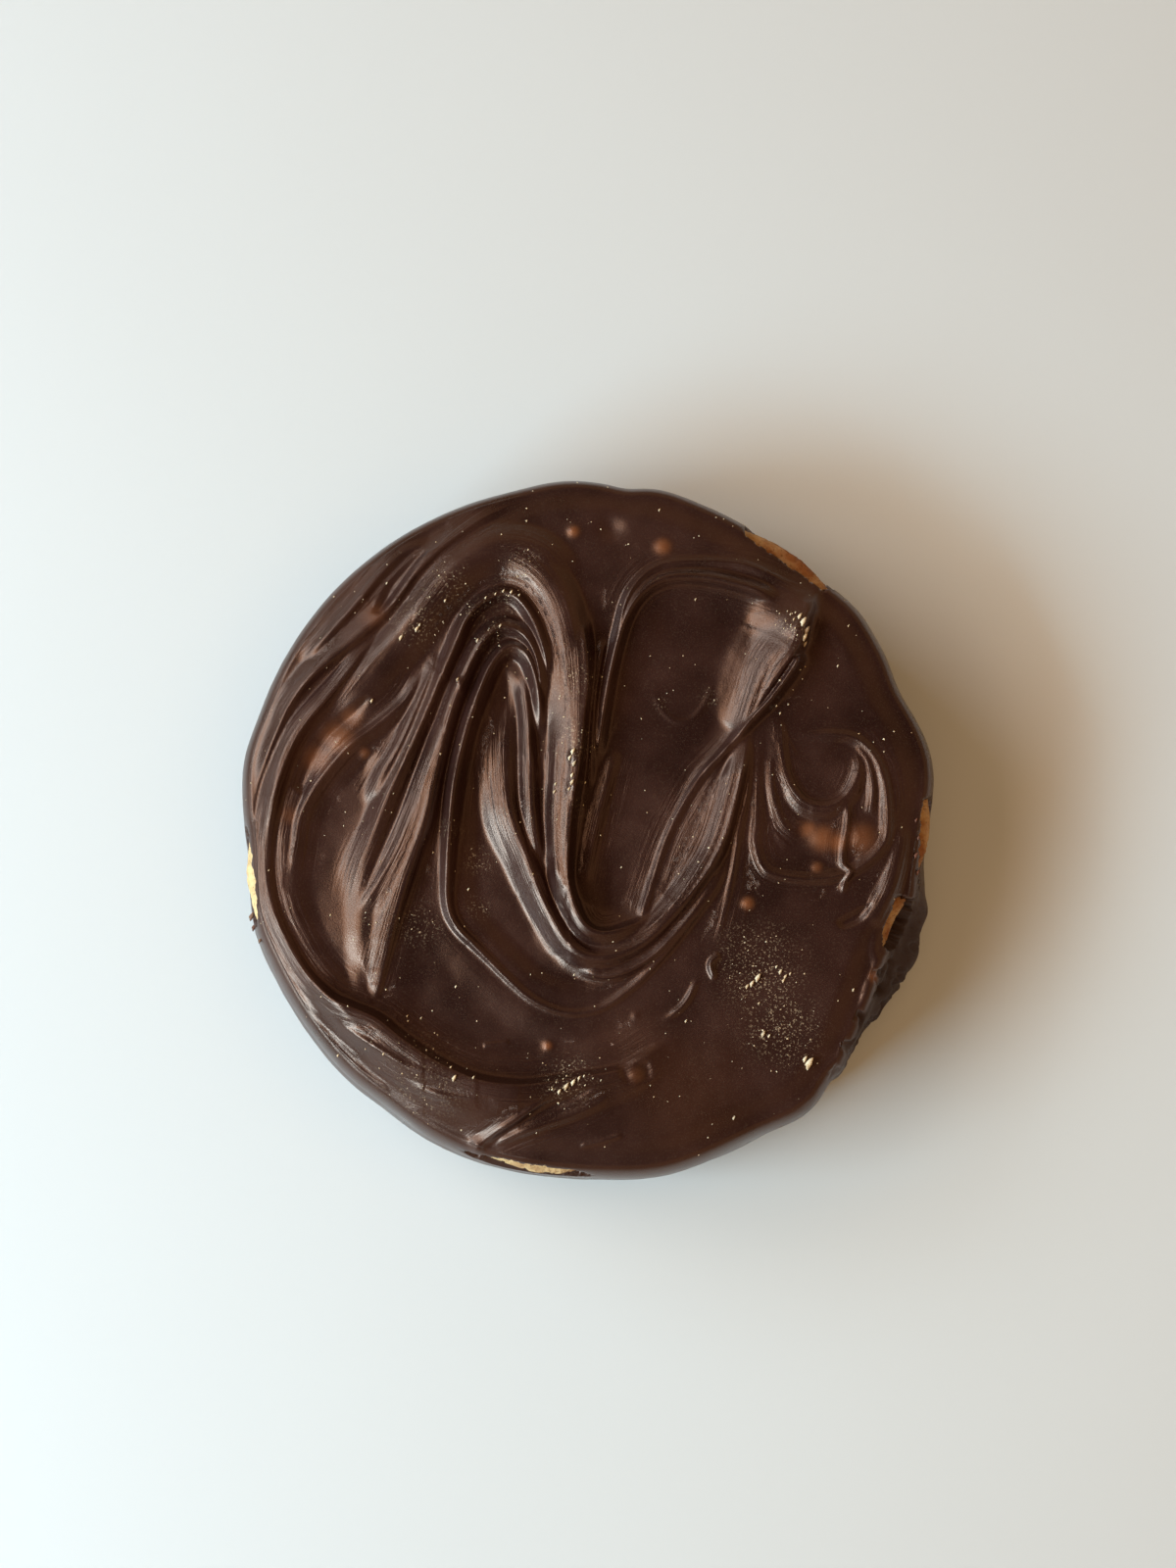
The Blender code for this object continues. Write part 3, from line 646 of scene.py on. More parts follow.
        "height": (0.2, 0.5, 0.5, 0.2), "left": 1.4, "right": 0.4, "bend": 1.2, "over": 1.0,
        "path": [(-14.2, -25.2), (-17.6, -24.2), (-20.4, -22.6), (-24, -20.4), (-27.6, -17.4)]},
    "band second": {
        "height": (0.2, 0.4, 0.4, 0.2), "left": 1.4, "right": 0.4, "bend": 1.2, "over": 1.0,
        "path": [(-19.6, -26.6), (-22.4, -24.8), (-25.4, -22), (-28.6, -18.8)]},
    "band third": {
        "height": (0.2, 0.4, 0.4, 0.2), "left": 1.0, "right": 0.4, "bend": 1.2, "over": 1.0,
        "path": [(-10, -27.4), (-14.6, -26.9), (-18.4, -25.6), (-22, -23.4)]},
    "tail": {
        "height": (0.6, 1.2, 1.3, 1.3, 1.4), "left": 0.6, "right": (0.7, 0.8, 1.2), "bend": 1.0,
        "taper": 0.05,
        "path": [(-0.6, -24.9), (-3.7, -27), (-6.7, -29.1), (-9.4, -30.8), (-11.5, -32.3)]},
    "second tail": {
        "height": (0.3, 0.7, 0.8, 0.7, 0.5), "left": 0.6, "right": 0.8, "bend": 1.2,
        "path": [(2.6, -25.8), (1.4, -27.5), (-1.2, -28.8), (-5.6, -30.3), (-9.8, -32)]},
    "small swirl": {
        "height": (0.1, 0.15, 0.2, 0.35, 0.4, 0.45, 0.45, 0.5, 0.6, 0.5, 0.35, 0.15),
        "left": (0.8, 0.9, 1.0), "right": (0.8, 0.6, 0.6), "bend": 1.2,
        "path": [(17.6, 11), (17.4, 6), (17.3, 1), (17.2, -1.4), (17.9, -3.7), (19.4, -4.6), (22.6, -5),
                 (26, -4.6), (28.5, -3.3), (30.4, -1.2), (30.7, 1.4), (30.4, 5.2), (29.3, 7.8),
                 (27.6, 9.5), (25.2, 10), (22.4, 10), (20.6, 11.2)]},
    "swirl middle": {
        "height": (0.1, 0.25, 0.5, 0.6, 0.5, 0.5, 0.5, 0.2), "left": (0.7, 0.8),
        "right": (1.8, 1.6, 1.2), "bend": 1.1, "round": (0.1, 0.5),
        "path": [(19.8, 12.4), (20, 8), (20.7, 5), (22.2, 3), (24.4, 2.5), (26.2, 3.3), (27.3, 4.9),
                 (27.8, 7), (27, 8.7)]},
    "swirl second": {
        "height": (0.1, 0.3, 0.35, 0.3, 0.1), "left": 0.6, "right": 0.8, "bend": 1.2,
        "path": [(18.7, 8), (19, 4), (20, 0.8), (21.8, -0.8)]},
    "swirl eye": {
        "height": (0.1, 0.4, 0.4, 0.1), "left": 0.6, "right": 0.6, "bend": 1.2,
        "path": [(28.9, 1.4), (29.2, 4.4), (28.7, 7.2), (27.3, 8.9)]},
    "dribble": {
        "height": (0.3, 0.55, 0.6, 0.5, 0.6, 0.3), "left": 0.35, "right": 0.35, "bend": 1.0,
        "round": 0.5, "over": 1.0,
        "path": [(26.7, 3), (26.5, 0.4), (26.1, -1.8), (26.1, -3.4), (26.8, -4.3), (26.2, -5.4),
                 (26.1, -6.8)]},
    "right rise": {
        "height": (0.3, 0.8, 1.0, 0.9, 0.3), "left": (0.8, 1.0), "right": (1.2, 1.8, 2.2), "bend": 1.2,
        "round": 0.3,
        "path": [(32.6, 0.6), (32.3, -2), (31.4, -5.6), (30.2, -8.2), (29.2, -10.2)]},
    "thin line": {
        "height": (0.1, 0.3, 0.35, 0.25, 0.1), "left": 0.35, "right": 0.4, "bend": 1.2,
        "path": [(17, 9), (16.4, 4), (15.5, 0.1), (14.7, -5), (13.8, -9.2), (12.9, -12.2)]},
    "curl": {
        "height": (0.4, 0.6, 0.4), "left": 0.35, "right": 0.4, "bend": 1.0, "round": 0.4, "streak": 0.0,
        "path": [(13.5, -12.6), (12.5, -13.7), (13.0, -15.2)]},
    "short arc": {
        "height": (0.1, 0.45, 0.45, 0.1), "left": 0.4, "right": 0.4, "bend": 1.1, "taper": 0.3,
        "streak": 0.0,
        "path": [(11.5, -14.6), (10.2, -17.2), (9, -18.5), (7.2, -19.6)]},
    "front scratch": {
        "height": 0.25, "left": 0.25, "right": 0.25, "round": 0.5, "streak": 0.0,
        "path": [(-0.8, -32), (1.4, -31.5), (3.6, -30.8)]},
    "flat dash": {
        "height": 0.25, "left": 0.25, "right": 0.25, "round": 0.5, "streak": 0.0,
        "path": [(-10.6, -21.9), (-7.8, -21.5)]},
    "top dash": {
        "height": 0.25, "left": 0.25, "right": 0.25, "round": 0.5, "streak": 0.0,
        "path": [(-8.6, 29.7), (-7.1, 29.4)]},
    "trough edge": {
        "height": (0.0, 0.1, 0.16, 0.18, 0.14, 0.0), "left": 0.5, "right": 0.35, "round": 0.3,
        "streak": 0.0,
        "path": [(6.6, 15.2), (7.2, 13.4), (8.5, 11.7), (10.2, 11.3), (11.8, 12.6), (13.3, 15.8)]},
    "torn edge": {
        "height": (0.2, 0.6, 0.8, 0.9, 0.8, 0.5), "left": 0.5, "right": 0.7, "bend": 1.0, "round": 0.2,
        "streak": 0.0,
        "path": [(30, -9.4), (29.3, -12), (29.5, -14.2), (28.5, -17), (28, -20.2), (26.3, -22),
                 (25.4, -24.4)]},
    "torn bead": {
        "height": (0.6, 1.0, 1.0, 0.5), "left": 0.5, "right": 0.6, "round": 0.4, "streak": 0.0,
        "path": [(29.5, -14.6), (28.7, -15.6), (28.2, -17.4), (27.9, -19.6)]},
    "torn ridge": {
        "height": (0.3, 0.7, 0.8, 0.5), "left": 0.6, "right": 0.6, "round": 0.4, "streak": 0.0,
        "path": [(31.8, -11), (30.9, -13.4), (30.2, -16.4), (29.2, -18.8)]},
}

# Broad swells under the crests: path, height, half width
swirlSwells = (
    ([(-23, -10), (-18, 2), (-14, 12), (-9, 19.5), (-5, 15)], 0.5, 6.0),
    ([(-2, 20), (-3, 5), (-2, -8)], 0.35, 5.0),
    ([(-1, -12), (6, -11), (13, -3), (16, 6), (21, 17)], 0.35, 5.0),
    ([(-26, -18), (-18, -24), (-8, -27)], 0.4, 5.0),
)

# Sunken floors between the crests: outline points, depth, width of the wall
swirlFloors = (
    ([(1, 13), (3.4, 18.5), (6, 24), (10, 25.6), (17, 25), (20.2, 21), (19.4, 15.6), (16.6, 9.6),
      (13.8, 4.6), (12.5, 1), (10.2, -4.1), (7.5, -8), (4.2, -10), (1.6, -10.4), (-0.6, -8.6),
      (-1.4, -3), (-0.6, 5)], 0.6, 3.8),
    ([(-10.6, 13), (-8.4, 17), (-6, 13), (-6.5, 3), (-5.5, -4), (-4, -8), (-2, -11.6), (1, -14),
      (5, -14.5), (0, -17), (-5.4, -15.8), (-9.6, -12), (-12.6, -8.4), (-13.2, -4),
      (-12.6, 4)], 0.65, 2.4),
    ([(-28, 5), (-22, 9), (-20.6, 3), (-22.6, -6), (-22.6, -15), (-24.6, -16.6), (-28.2, -12.4),
      (-30.2, -6), (-29.6, 0)], 0.55, 2.4),
    ([(-18.6, -12), (-15, -10), (-10, -15), (-3, -19.6), (3, -18.6), (5, -21), (-5, -24.4), (-13, -22.8),
      (-19.6, -18.6)], 0.3, 3.0),
    ([(-22.4, 22.6), (-20.6, 26), (-17.6, 29), (-16.4, 29.2), (-18.4, 25.8), (-21, 22.4)], 0.7, 0.9),
    ([(-30.6, 4.6), (-28, 10), (-23, 14), (-22.4, 12.6), (-26.6, 8), (-28.8, 3.6)], 0.6, 1.2),
    ([(25, -9.2), (26, -10.2), (28, -9.4), (29.3, -7.6), (28.6, -7.3), (26.6, -8.3)], 0.45, 0.7),
    ([(2.6, -24), (4, -26), (6.6, -25.4), (6.4, -23.4), (4.4, -23.2)], 0.4, 0.8),
    ([(-5.4, -29.6), (-8.4, -31.2), (-9.6, -31.2), (-7, -29.2), (-3.6, -27.2), (0.6, -26),
      (-0.6, -27.4)], 0.4, 0.6),
)

# Crumbs and lumps under the coat: place, height, half width
swirlLumps = (
    (-1.4, 31.2, 0.35, 0.55), (7.8, 29.6, 0.3, 0.7), (16.3, -7.5, 0.35, 0.55), (-4, -21.9, 0.3, 0.4),
    (4.9, -24.9, 0.5, 0.8), (-22.8, 8, 0.25, 0.5), (23.4, -3.8, 0.25, 0.5), (29.4, -14.8, 0.5, 0.5),
    (23.8, -0.8, 0.45, 1.2), (28.1, -0.6, 0.4, 1.2), (-25.6, 9.6, 0.35, 1.6), (4.9, -18.9, 0.2, 0.4),
    (13.4, -23, 0.2, 1.6), (2.4, 31.8, -0.45, 1.2), (7, 20.4, 0.15, 1.4), (-11.9, -32.4, 0.7, 0.8),
    (21.4, 20.8, 0.5, 1.0), (-1.5, 7.4, 0.4, 0.5), (-1.5, 4.4, 0.35, 0.4), (-13.3, 15.2, 0.3, 0.4),
)


def bumpsAt(angle, table):
    total = 0.0
    for centre, size, halfWidth in table:
        away = (angle - centre + 180.0) % 360.0 - 180.0
        total = total + size * np.exp(-(away / halfWidth) ** 2)
    return total


def outlineAt(angle):
    return outlineValues["radius"] + bumpsAt(angle, outlineValues["bumps"])


def nearBox(path, reach, x, y):
    low, high = path.min(axis=0) - reach, path.max(axis=0) + reach
    return np.nonzero((x > low[0]) & (x < high[0]) & (y > low[1]) & (y < high[1]))[0]


def crestRelief(crest, number, x, y):
    # The points that one crest reaches, its height there, the curl of its tip, where a point lies in its
    # flow, and how near that flow is.
    path = curveThrough(crest["path"])
    streakReach = crest.get("streakReach", coatValues["streakReach"])
    reach = float(max(np.max(crest["left"]), np.max(crest["right"]), streakReach))
    near = nearBox(path, reach, x, y)
    distance, side, along, acrossX, acrossY = nearestOn(path, x[near], y[near])
    blunt = coatValues["crestRadius"]
    away = np.sqrt(distance ** 2 + blunt ** 2) - blunt
    width = np.where(side > 0, spread(crest["left"], along), spread(crest["right"], along))
    u = np.clip(away / width, 0.0, 1.0)
    roundness = crest.get("round", 0.1)
    if not isinstance(roundness, (int, float)):
        roundness = np.where(side > 0, *roundness)
    shape = (1.0 - u) ** crest.get("bend", 1.3) * (1.0 - roundness) + (1.0 - u * u) ** 2 * roundness
    shape = shape * smoothStep(0.0, 0.35, 1.0 - u)
    taper = crest.get("taper", 0.12)
    ends = smoothStep(0.0, taper, along) * smoothStep(0.0, taper, 1.0 - along)
    height = spread(crest["height"], along) * ends * shape
    steepSide = 1.0 if np.mean(crest["left"]) < np.mean(crest["right"]) else -1.0
    lean = crest.get("lean", 0.0) * steepSide * shape ** 3 * ends
    length = float(np.hypot(*np.diff(path, axis=0).T).sum())
    across = distance * side
    beside = 1.0 - smoothStep(0.3, 1.0, distance / streakReach)
    fade = spread(crest.get("streak", 1.0), along) * beside * ends
    flow = {"flow": across + 1.7 * number, "flowAlong": along * length, "flowFade": fade}
    return near, height, lean * acrossX, lean * acrossY, flow, streakReach - distance


def insideLoop(loop, x, y):
    inside = np.zeros(x.shape, bool)
    for (ax, ay), (bx, by) in zip(loop[:-1], loop[1:]):
        crosses = (ay > y) != (by > y)
        at = ax + (y - ay) / ((by - ay) or 1e-9) * (bx - ax)
        inside ^= crosses & (x < at)
    return inside


def swirlRelief(x, y):
    # Height above the plain top, and the sideways curl of the crests, at each point of the top.
    x, y = x - swirlOrigin[0], y - swirlOrigin[1]
    crests = np.zeros(x.shape)
    curlX = np.zeros(x.shape)
    curlY = np.zeros(x.shape)
    flows = {label: np.zeros(x.shape) for label in ("flow", "flowAlong", "flowFade")}
    best = np.full(x.shape, -99.0)
    second = np.full(x.shape, -99.0)
    valley = coatValues["valley"]
    for number, crest in enumerate(swirlCrests.values()):
        near, height, leanX, leanY, flow, score = crestRelief(crest, number, x, y)
        held = crests[near]
        height = height + crest.get("over", 0.0) * held
        higher = height > held
        fill = np.maximum(valley - np.abs(height - held), 0.0) ** 2 / (4.0 * valley)
        fill = fill * smoothStep(0.0, valley, np.minimum(height, held))
        crests[near] = np.where(higher, height, held) + fill
        curlX[near] = np.where(higher, leanX, curlX[near])
        curlY[near] = np.where(higher, leanY, curlY[near])
        if crest.get("streak", 1.0):
            closer = score > best[near]
            for label, values in flow.items():
                flows[label][near] = np.where(closer, values, flows[label][near])
            second[near] = np.maximum(second[near], np.minimum(best[near], score))
            best[near] = np.maximum(best[near], score)
    flows["flowFade"] *= smoothStep(0.15, 1.0, best - np.maximum(second, 0.0))
    total = crests.copy()
    for points, height, width in swirlSwells:
        path = curveThrough(points)
        near = nearBox(path, width, x, y)
        distance = nearestOn(path, x[near], y[near])[0]
        total[near] += height * (1.0 - smoothStep(0.0, width, distance))
    for points, depth, wall in swirlFloors:
        loop = curveThrough(points + points[:1], 4)
        near = nearBox(loop, 0.1, x, y)
        distance = nearestOn(loop, x[near], y[near])[0]
        inside = insideLoop(loop, x[near], y[near])
        total[near] -= depth * smoothStep(0.0, wall, np.where(inside, distance, 0.0))
    for px, py, height, width in swirlLumps:
        total += height * np.exp(-((x - px) ** 2 + (y - py) ** 2) / width ** 2)
    total += sum(height * fractal(x, y, 0 * x, size, 2, seed) for height, size, seed in coatValues["uneven"])
    return total, curlX, curlY, flows


def softened(relief):
    # Molten look: the square grid of heights is blurred a little, and the crests keep part of their edge.
    side = 2 * coatValues["topRings"] + 1
    field = relief.reshape(side, side)
    cells, share = coatValues["softCells"], coatValues["softShare"]
    steps = np.arange(-3 * cells, 3 * cells + 1)
    weights = np.exp(-0.5 * (steps / cells) ** 2)
    weights = weights / weights.sum()
    blurred = field
    for axis in (0, 1):
        margins = [(len(steps) // 2,) * 2 if place == axis else (0, 0) for place in (0, 1)]
        padded = np.pad(blurred, margins, "edge")
        shifted = [np.take(padded, np.arange(side) + i, axis) for i in range(len(weights))]
        blurred = sum(weight * part for weight, part in zip(weights, shifted))
    return (share * blurred + (1.0 - share) * field).ravel()


def topHeight(x, y, rim):
    values = coatValues
    level = values["topLevel"] - values["dome"] * (np.hypot(x, y) / outlineValues["radius"]) ** 2
    relief, curlX, curlY, flows = swirlRelief(x, y)
    relief = softened(relief)
    edge = 1.0 - smoothStep(0.0, values["edgeFallWidth"], rim)
    rimRelief = values["rimShare"] * np.maximum(relief, values["rimLowest"])
    rimLevel = values["rimHeight"] - values["edgeFall"] + rimRelief
    height = (level + relief) * (1.0 - edge) + rimLevel * edge
    return height, curlX * (1.0 - edge), curlY * (1.0 - edge), flows


def setbackAt(angle, height):
    return bumpsAt(angle, coatValues["setbacks"]) * smoothStep(*coatValues["setbackEnds"], height)


def lumpsAt(angle, height):
    start, end, depth, count = coatValues["lumps"]
    turn = (angle - start) % 360.0 / (end - start)
    swell = np.sin(np.pi * np.clip(turn, 0, 1))
    wave = np.where(turn < 1.0, swell * np.sin(2 * np.pi * count * turn), 0.0)
    return depth * wave * np.sin(np.pi * np.clip((height - 2.0) / 12.0, 0.0, 1.0))


biscuitValues = {
    "inset": 1.35,
    "rounding": 1.5,
    "upperBumps": ((54, 1.25, 9), (188, 0.9, 8), (358, 1.1, 7), (261, 1.0, 9), (338, -2.6, 12)),
    "lowerBumps": ((40, 0.1, 12), (200, -0.2, 12)),
    "columns": 960,
    "edgeRows": 9,           # rows round each rounded edge
    "flatRings": (6.0, 3.0),  # rings in the flat faces, inward from the side
    "pores": (0.28, 0.8),    # depth and size
    "waves": (0.1, 2.4),
}

fillingValues = {
    "inset": 2.3,
    "rounding": 0.8,
    "bumps": ((344, 1.6, 5), (120, 0.2, 14), (230, -0.3, 16)),
    "waves": (0.1, 2.5),     # depth and size
}


def upperReach(angle):
    return outlineAt(angle) - biscuitValues["inset"] + bumpsAt(angle, biscuitValues["upperBumps"])


def lowerReach(angle):
    return outlineAt(angle) - biscuitValues["inset"] + bumpsAt(angle, biscuitValues["lowerBumps"])


def fillingReach(angle):
    return outlineAt(angle) - fillingValues["inset"] + bumpsAt(angle, fillingValues["bumps"])


# Broken places in the coat: from angle, to angle, inner radius, lowest, highest
openings = {
    "upper right": (44, 63, 33.9, 11.6, 18.6),
    "left": (180, 197, 34.9, 11.6, 18.6),
    "right": (-11, 5, 33.8, 11.6, 18.6),
    "lower right": (-23, -13, 31.8, 12.4, 19.2),
    "front": (249, 270, 34.8, 14.0, 16.3),
}


# Notches in the edge of a broken place: depth, size, seed
notches = ((0.16, 0.7, 5), (0.1, 0.3, 6))


def openAt(angle, radius, height):
    # 1 where the coat is broken away, 0 where it is whole, with a ragged edge between.
    along = angle * 0.6  # about a millimetre along the side for each degree
    ragged = sum(depth * lumpy(along, radius, height, size, seed) for depth, size, seed in notches)
    total = np.zeros(np.shape(angle))
    for start, end, inner, low, high in openings.values():
        across = ((angle - start + 180.0) % 360.0 - 180.0) / (end - start) * 2.0 - 1.0
        lens = np.sqrt(np.clip(1.0 - across ** 2, 0.0, 1.0))
        middle, half = 0.5 * (low + high), 0.5 * (high - low)
        upright = 1.0 - np.abs(height - middle) / half
        inward = (radius - inner - 0.7 * (1.0 - lens)) / 2.0
        room = np.minimum(upright - (1.0 - lens), inward * 2.0)
        room = np.where(np.abs(across) < 1.0, room, -1.0)
        total = np.maximum(total, smoothStep(-0.04, 0.10, room + ragged))
    return total


def discGrid(rings):
    # Square grid bent into a disc, so that ring k has 8k points.
    side = 2 * rings + 1
    line = np.linspace(-1.0, 1.0, side)
    gridX, gridY = np.meshgrid(line, line)
    radius = np.maximum(np.abs(gridX), np.abs(gridY))
    across = np.abs(gridX) >= np.abs(gridY)
    with np.errstate(divide="ignore", invalid="ignore"):
        turn = np.where(across, gridY / gridX * 45.0, 90.0 - gridX / gridY * 45.0)
    turn = np.nan_to_num(turn) + np.where(np.where(across, gridX < 0, gridY < 0), 180.0, 0.0)
    index = np.arange(side * side).reshape(side, side)
    corners = (index[:-1, :-1], index[:-1, 1:], index[1:, 1:], index[1:, :-1])
    quads = np.stack(corners, axis=-1).reshape(-1, 4)
    ring = np.concatenate([
        index[rings:, -1], index[-1, -2::-1], index[-2::-1, 0], index[0, 1:], index[1:rings, -1]])
    return radius.ravel(), turn.ravel() % 360.0, quads, ring


def ringQuads(upper, lower):
    return np.stack([np.roll(upper, -1), upper, lower, np.roll(lower, -1)], axis=-1)


def newPiece(name, points, quads, triangles=None, attributes=None):
    # A mesh object from arrays of points in millimetres and of faces.
    faces = [tuple(face) for face in quads.tolist()]
    if triangles is not None:
        faces += [tuple(face) for face in triangles.tolist()]
    mesh = bpy.data.meshes.new(name)
    mesh.from_pydata(((points + (*centreOffset, 0.0)) * mm).tolist(), [], faces)
    for label, values in (attributes or {}).items():
        layer = mesh.attributes.new(label, "FLOAT", "POINT")
        layer.data.foreach_set("value", np.asarray(values, np.float32))
    mesh.shade_smooth()
    piece = bpy.data.objects.new(name, mesh)
    bpy.context.scene.collection.objects.link(piece)
    return piece


# Thin places where the coat lets orange through: place, half width, strength
thinPlaces = (
    (22.6, 0.1, 0.8, 0.8), (24, -0.8, 1.2, 0.9), (25.4, -1.2, 0.9, 0.9), (28.0, -0.8, 1.4, 0.6),
    (-25.6, 9.6, 1.5, 0.75), (-27.6, 7.4, 1.3, 0.6), (-24.2, 11.6, 1.0, 0.6), (-1.4, 31.2, 0.55, 0.95),
    (7.8, 29.6, 0.8, 0.9), (16.3, -7.5, 0.6, 0.95), (-4, -21.9, 0.4, 0.9), (23.4, -3.8, 0.5, 0.6),
    (-22.8, 8, 0.5, 0.5), (29.3, -14.8, 0.6, 0.9), (-22, 22.4, 1.2, 0.35), (4.9, -24.9, 0.8, 0.3),
    (-30.4, 1.6, 0.8, 0.35), (10, -27, 6.0, 0.1), (5, -22, 4.0, 0.06),
)

# Dusty places: place, half width, strength
dustPlaces = (
    (18, -14.5, 4.0, 1.0), (20, -20, 3.6, 1.0), (16, -12, 2.4, 0.8), (-8.5, 24.3, 1.8, 0.9),
    (-11.6, 22.6, 1.4, 0.9), (-8.5, 20.6, 1.8, 0.9), (-11, 19, 1.4, 0.8), (-7.5, 18.4, 1.4, 0.8),
    (-1.4, 9, 2.4, 0.8), (-1.2, 15, 2.4, 0.8), (-2, 2, 2.0, 0.6), (-11.3, -3, 1.4, 0.9),
    (-11.2, -8, 1.2, 0.9), (-17.6, 21.5, 2.4, 0.8), (-14.6, 25, 2.4, 0.8), (7.6, 13, 0.8, 0.6),
    (12.6, 13.8, 0.9, 0.6), (21, 20.6, 1.8, 1.0), (-2, -25.3, 2.4, 1.0), (-14, 0, 1.2, 0.8),
    (-17, -10, 2.4, 0.5), (-22, -10, 2.6, 0.4), (-17.5, -26, 5.0, 0.5), (-6.5, 27.4, 2.0, 0.5),
)


def dustStreaks(x, y):
    # The dust lies in stripes that all run the same way.
    return 0.55 + 0.45 * lumpy(0.906 * x + 0.423 * y, 0.1 * (0.906 * y - 0.423 * x), 0 * x, 0.8, 61)


def placesAt(table, x, y):
    x, y = x - swirlOrigin[0], y - swirlOrigin[1]
    total = np.zeros(x.shape)
    for px, py, width, strength in table:
        away = ((x - px) ** 2 + (y - py) ** 2) / width ** 2
        total = np.maximum(total, strength * np.exp(-away ** 1.4))
    return total


def sideProfile(rows):
    # Smooth run of (inset, height) down the side.
    return curveThrough([(coatValues["rimInset"], coatValues["rimHeight"] - coatValues["edgeFall"])]
                        + list(coatValues["side"]), max(2, rows // len(coatValues["side"])))[1:]


def coatPoints():
    radius, turn, quads, ring = discGrid(coatValues["topRings"])
    rimRadius = outlineAt(turn) - coatValues["rimInset"] - setbackAt(turn, coatValues["rimHeight"])
    x = radius * rimRadius * np.cos(np.radians(turn))
    y = radius * rimRadius * np.sin(np.radians(turn))
    z, curlX, curlY, flows = topHeight(x, y, rimRadius * (1.0 - radius))
    points = [np.stack([x + curlX, y + curlY, z], axis=-1)]
    opened = [openAt(turn, radius * rimRadius, z)]
    faces = [quads]
    angle = turn[ring]
    lift = z[ring] - (coatValues["rimHeight"] - coatValues["edgeFall"])
    count = len(radius)
    cos, sin = np.cos(np.radians(angle)), np.sin(np.radians(angle))
    last = ring
    for inset, height in sideProfile(coatValues["sideRows"]):
        heights = np.full(angle.shape, height)
        reach = outlineAt(angle) - inset - setbackAt(angle, height) + lumpsAt(angle, height)
        wave = fractal(reach * cos, reach * sin, heights * 0.4, 5.0, 3, 2)
        torn = bumpsAt(angle, coatValues["torn"]) * smoothStep(4.0, 9.0, height)
        ragged = fractal(reach * cos, reach * sin, heights, 1.5, 3, 14)
        wave = coatValues["waves"] * wave * np.sin(math.pi * min(height / 16.0, 1.0))
        reach = reach + wave + torn * np.minimum(ragged, coatValues["tornOut"])
        rise = lift * smoothStep(12.0, coatValues["rimHeight"], height)
        points.append(np.stack([reach * cos, reach * sin, heights + rise], axis=-1))
        opened.append(openAt(angle, reach, heights + rise))
        row = count + np.arange(len(ring))
        faces.append(ringQuads(last, row))
        last = row
        count += len(ring)
    points.append(np.array([[0.0, 0.0, 0.0]]))
    opened.append(np.zeros(1))
    fan = np.stack([np.roll(last, -1), last, np.full(len(ring), count)], axis=-1)
    below = np.zeros(count + 1 - len(radius))
    flows = {label: np.concatenate([values, below]) for label, values in flows.items()}
    return np.vstack(points), np.vstack(faces), fan, np.concatenate(opened), flows


def turnOf(points):
    return np.degrees(np.arctan2(points[:, 1], points[:, 0])) % 360.0


def sinkOpenings(points, opened):
    # Where the coat is broken away its skin dips just under the layers, which then show.
    angle = turnOf(points)
    radius = np.hypot(points[:, 0], points[:, 1])
    height = points[:, 2]
    above = height > upperLow.z + 0.3
    inner = np.where(above, upperReach(angle), fillingReach(angle)) - coatValues["sunkInward"]
    newRadius = np.where(opened > 0, radius + (np.minimum(radius, inner) - radius) * opened, radius)
    ceiling = np.where(above, upperHigh.z, fillingHigh.z) - coatValues["sunkBelow"]
    newHeight = np.where(opened > 0, height + (np.minimum(height, ceiling) - height) * opened, height)
    scale = newRadius / np.maximum(radius, 1e-6)
    return np.stack([points[:, 0] * scale, points[:, 1] * scale, newHeight], axis=-1)


def thinned(piece, triangles):
    count = sum(len(face.vertices) - 2 for face in piece.data.polygons)
    modifier = piece.modifiers.new("thin", "DECIMATE")
    modifier.ratio = min(1.0, triangles / count)
    mesh = bpy.data.meshes.new_from_object(piece.evaluated_get(bpy.context.evaluated_depsgraph_get()))
    piece.modifiers.clear()
    old = piece.data
    piece.data = mesh
    bpy.data.meshes.remove(old)
    mesh.name = piece.name
    mesh.shade_smooth()


def makeCoat():
    points, quads, fan, opened, flows = coatPoints()
    points = sinkOpenings(points, opened)
    top = smoothStep(15.5, 16.5, points[:, 2])
    x, y = points[:, 0], points[:, 1]
    marks = {
        # the torn mark lies on the side below the top; it carries painted shade, a darker colour, as well as
        # a rougher finish
        "torn": np.clip(bumpsAt(turnOf(points), coatValues["torn"]), 0.0, 1.0) * (1.0 - top),
        "thin": placesAt(thinPlaces, x, y) * top,
        "dust": placesAt(dustPlaces, x, y) * dustStreaks(x, y) * top,
        **flows,
    }
    marks["crumbs"] = (coatValues["crumbs"] + marks["dust"]) * top
    coat = newPiece("coatSkin", points, quads, fan, marks)
    thinned(coat, coatValues["triangles"])
    coat.data.materials.append(chocolateMaterial())
    return coat


# Biscuits and filling


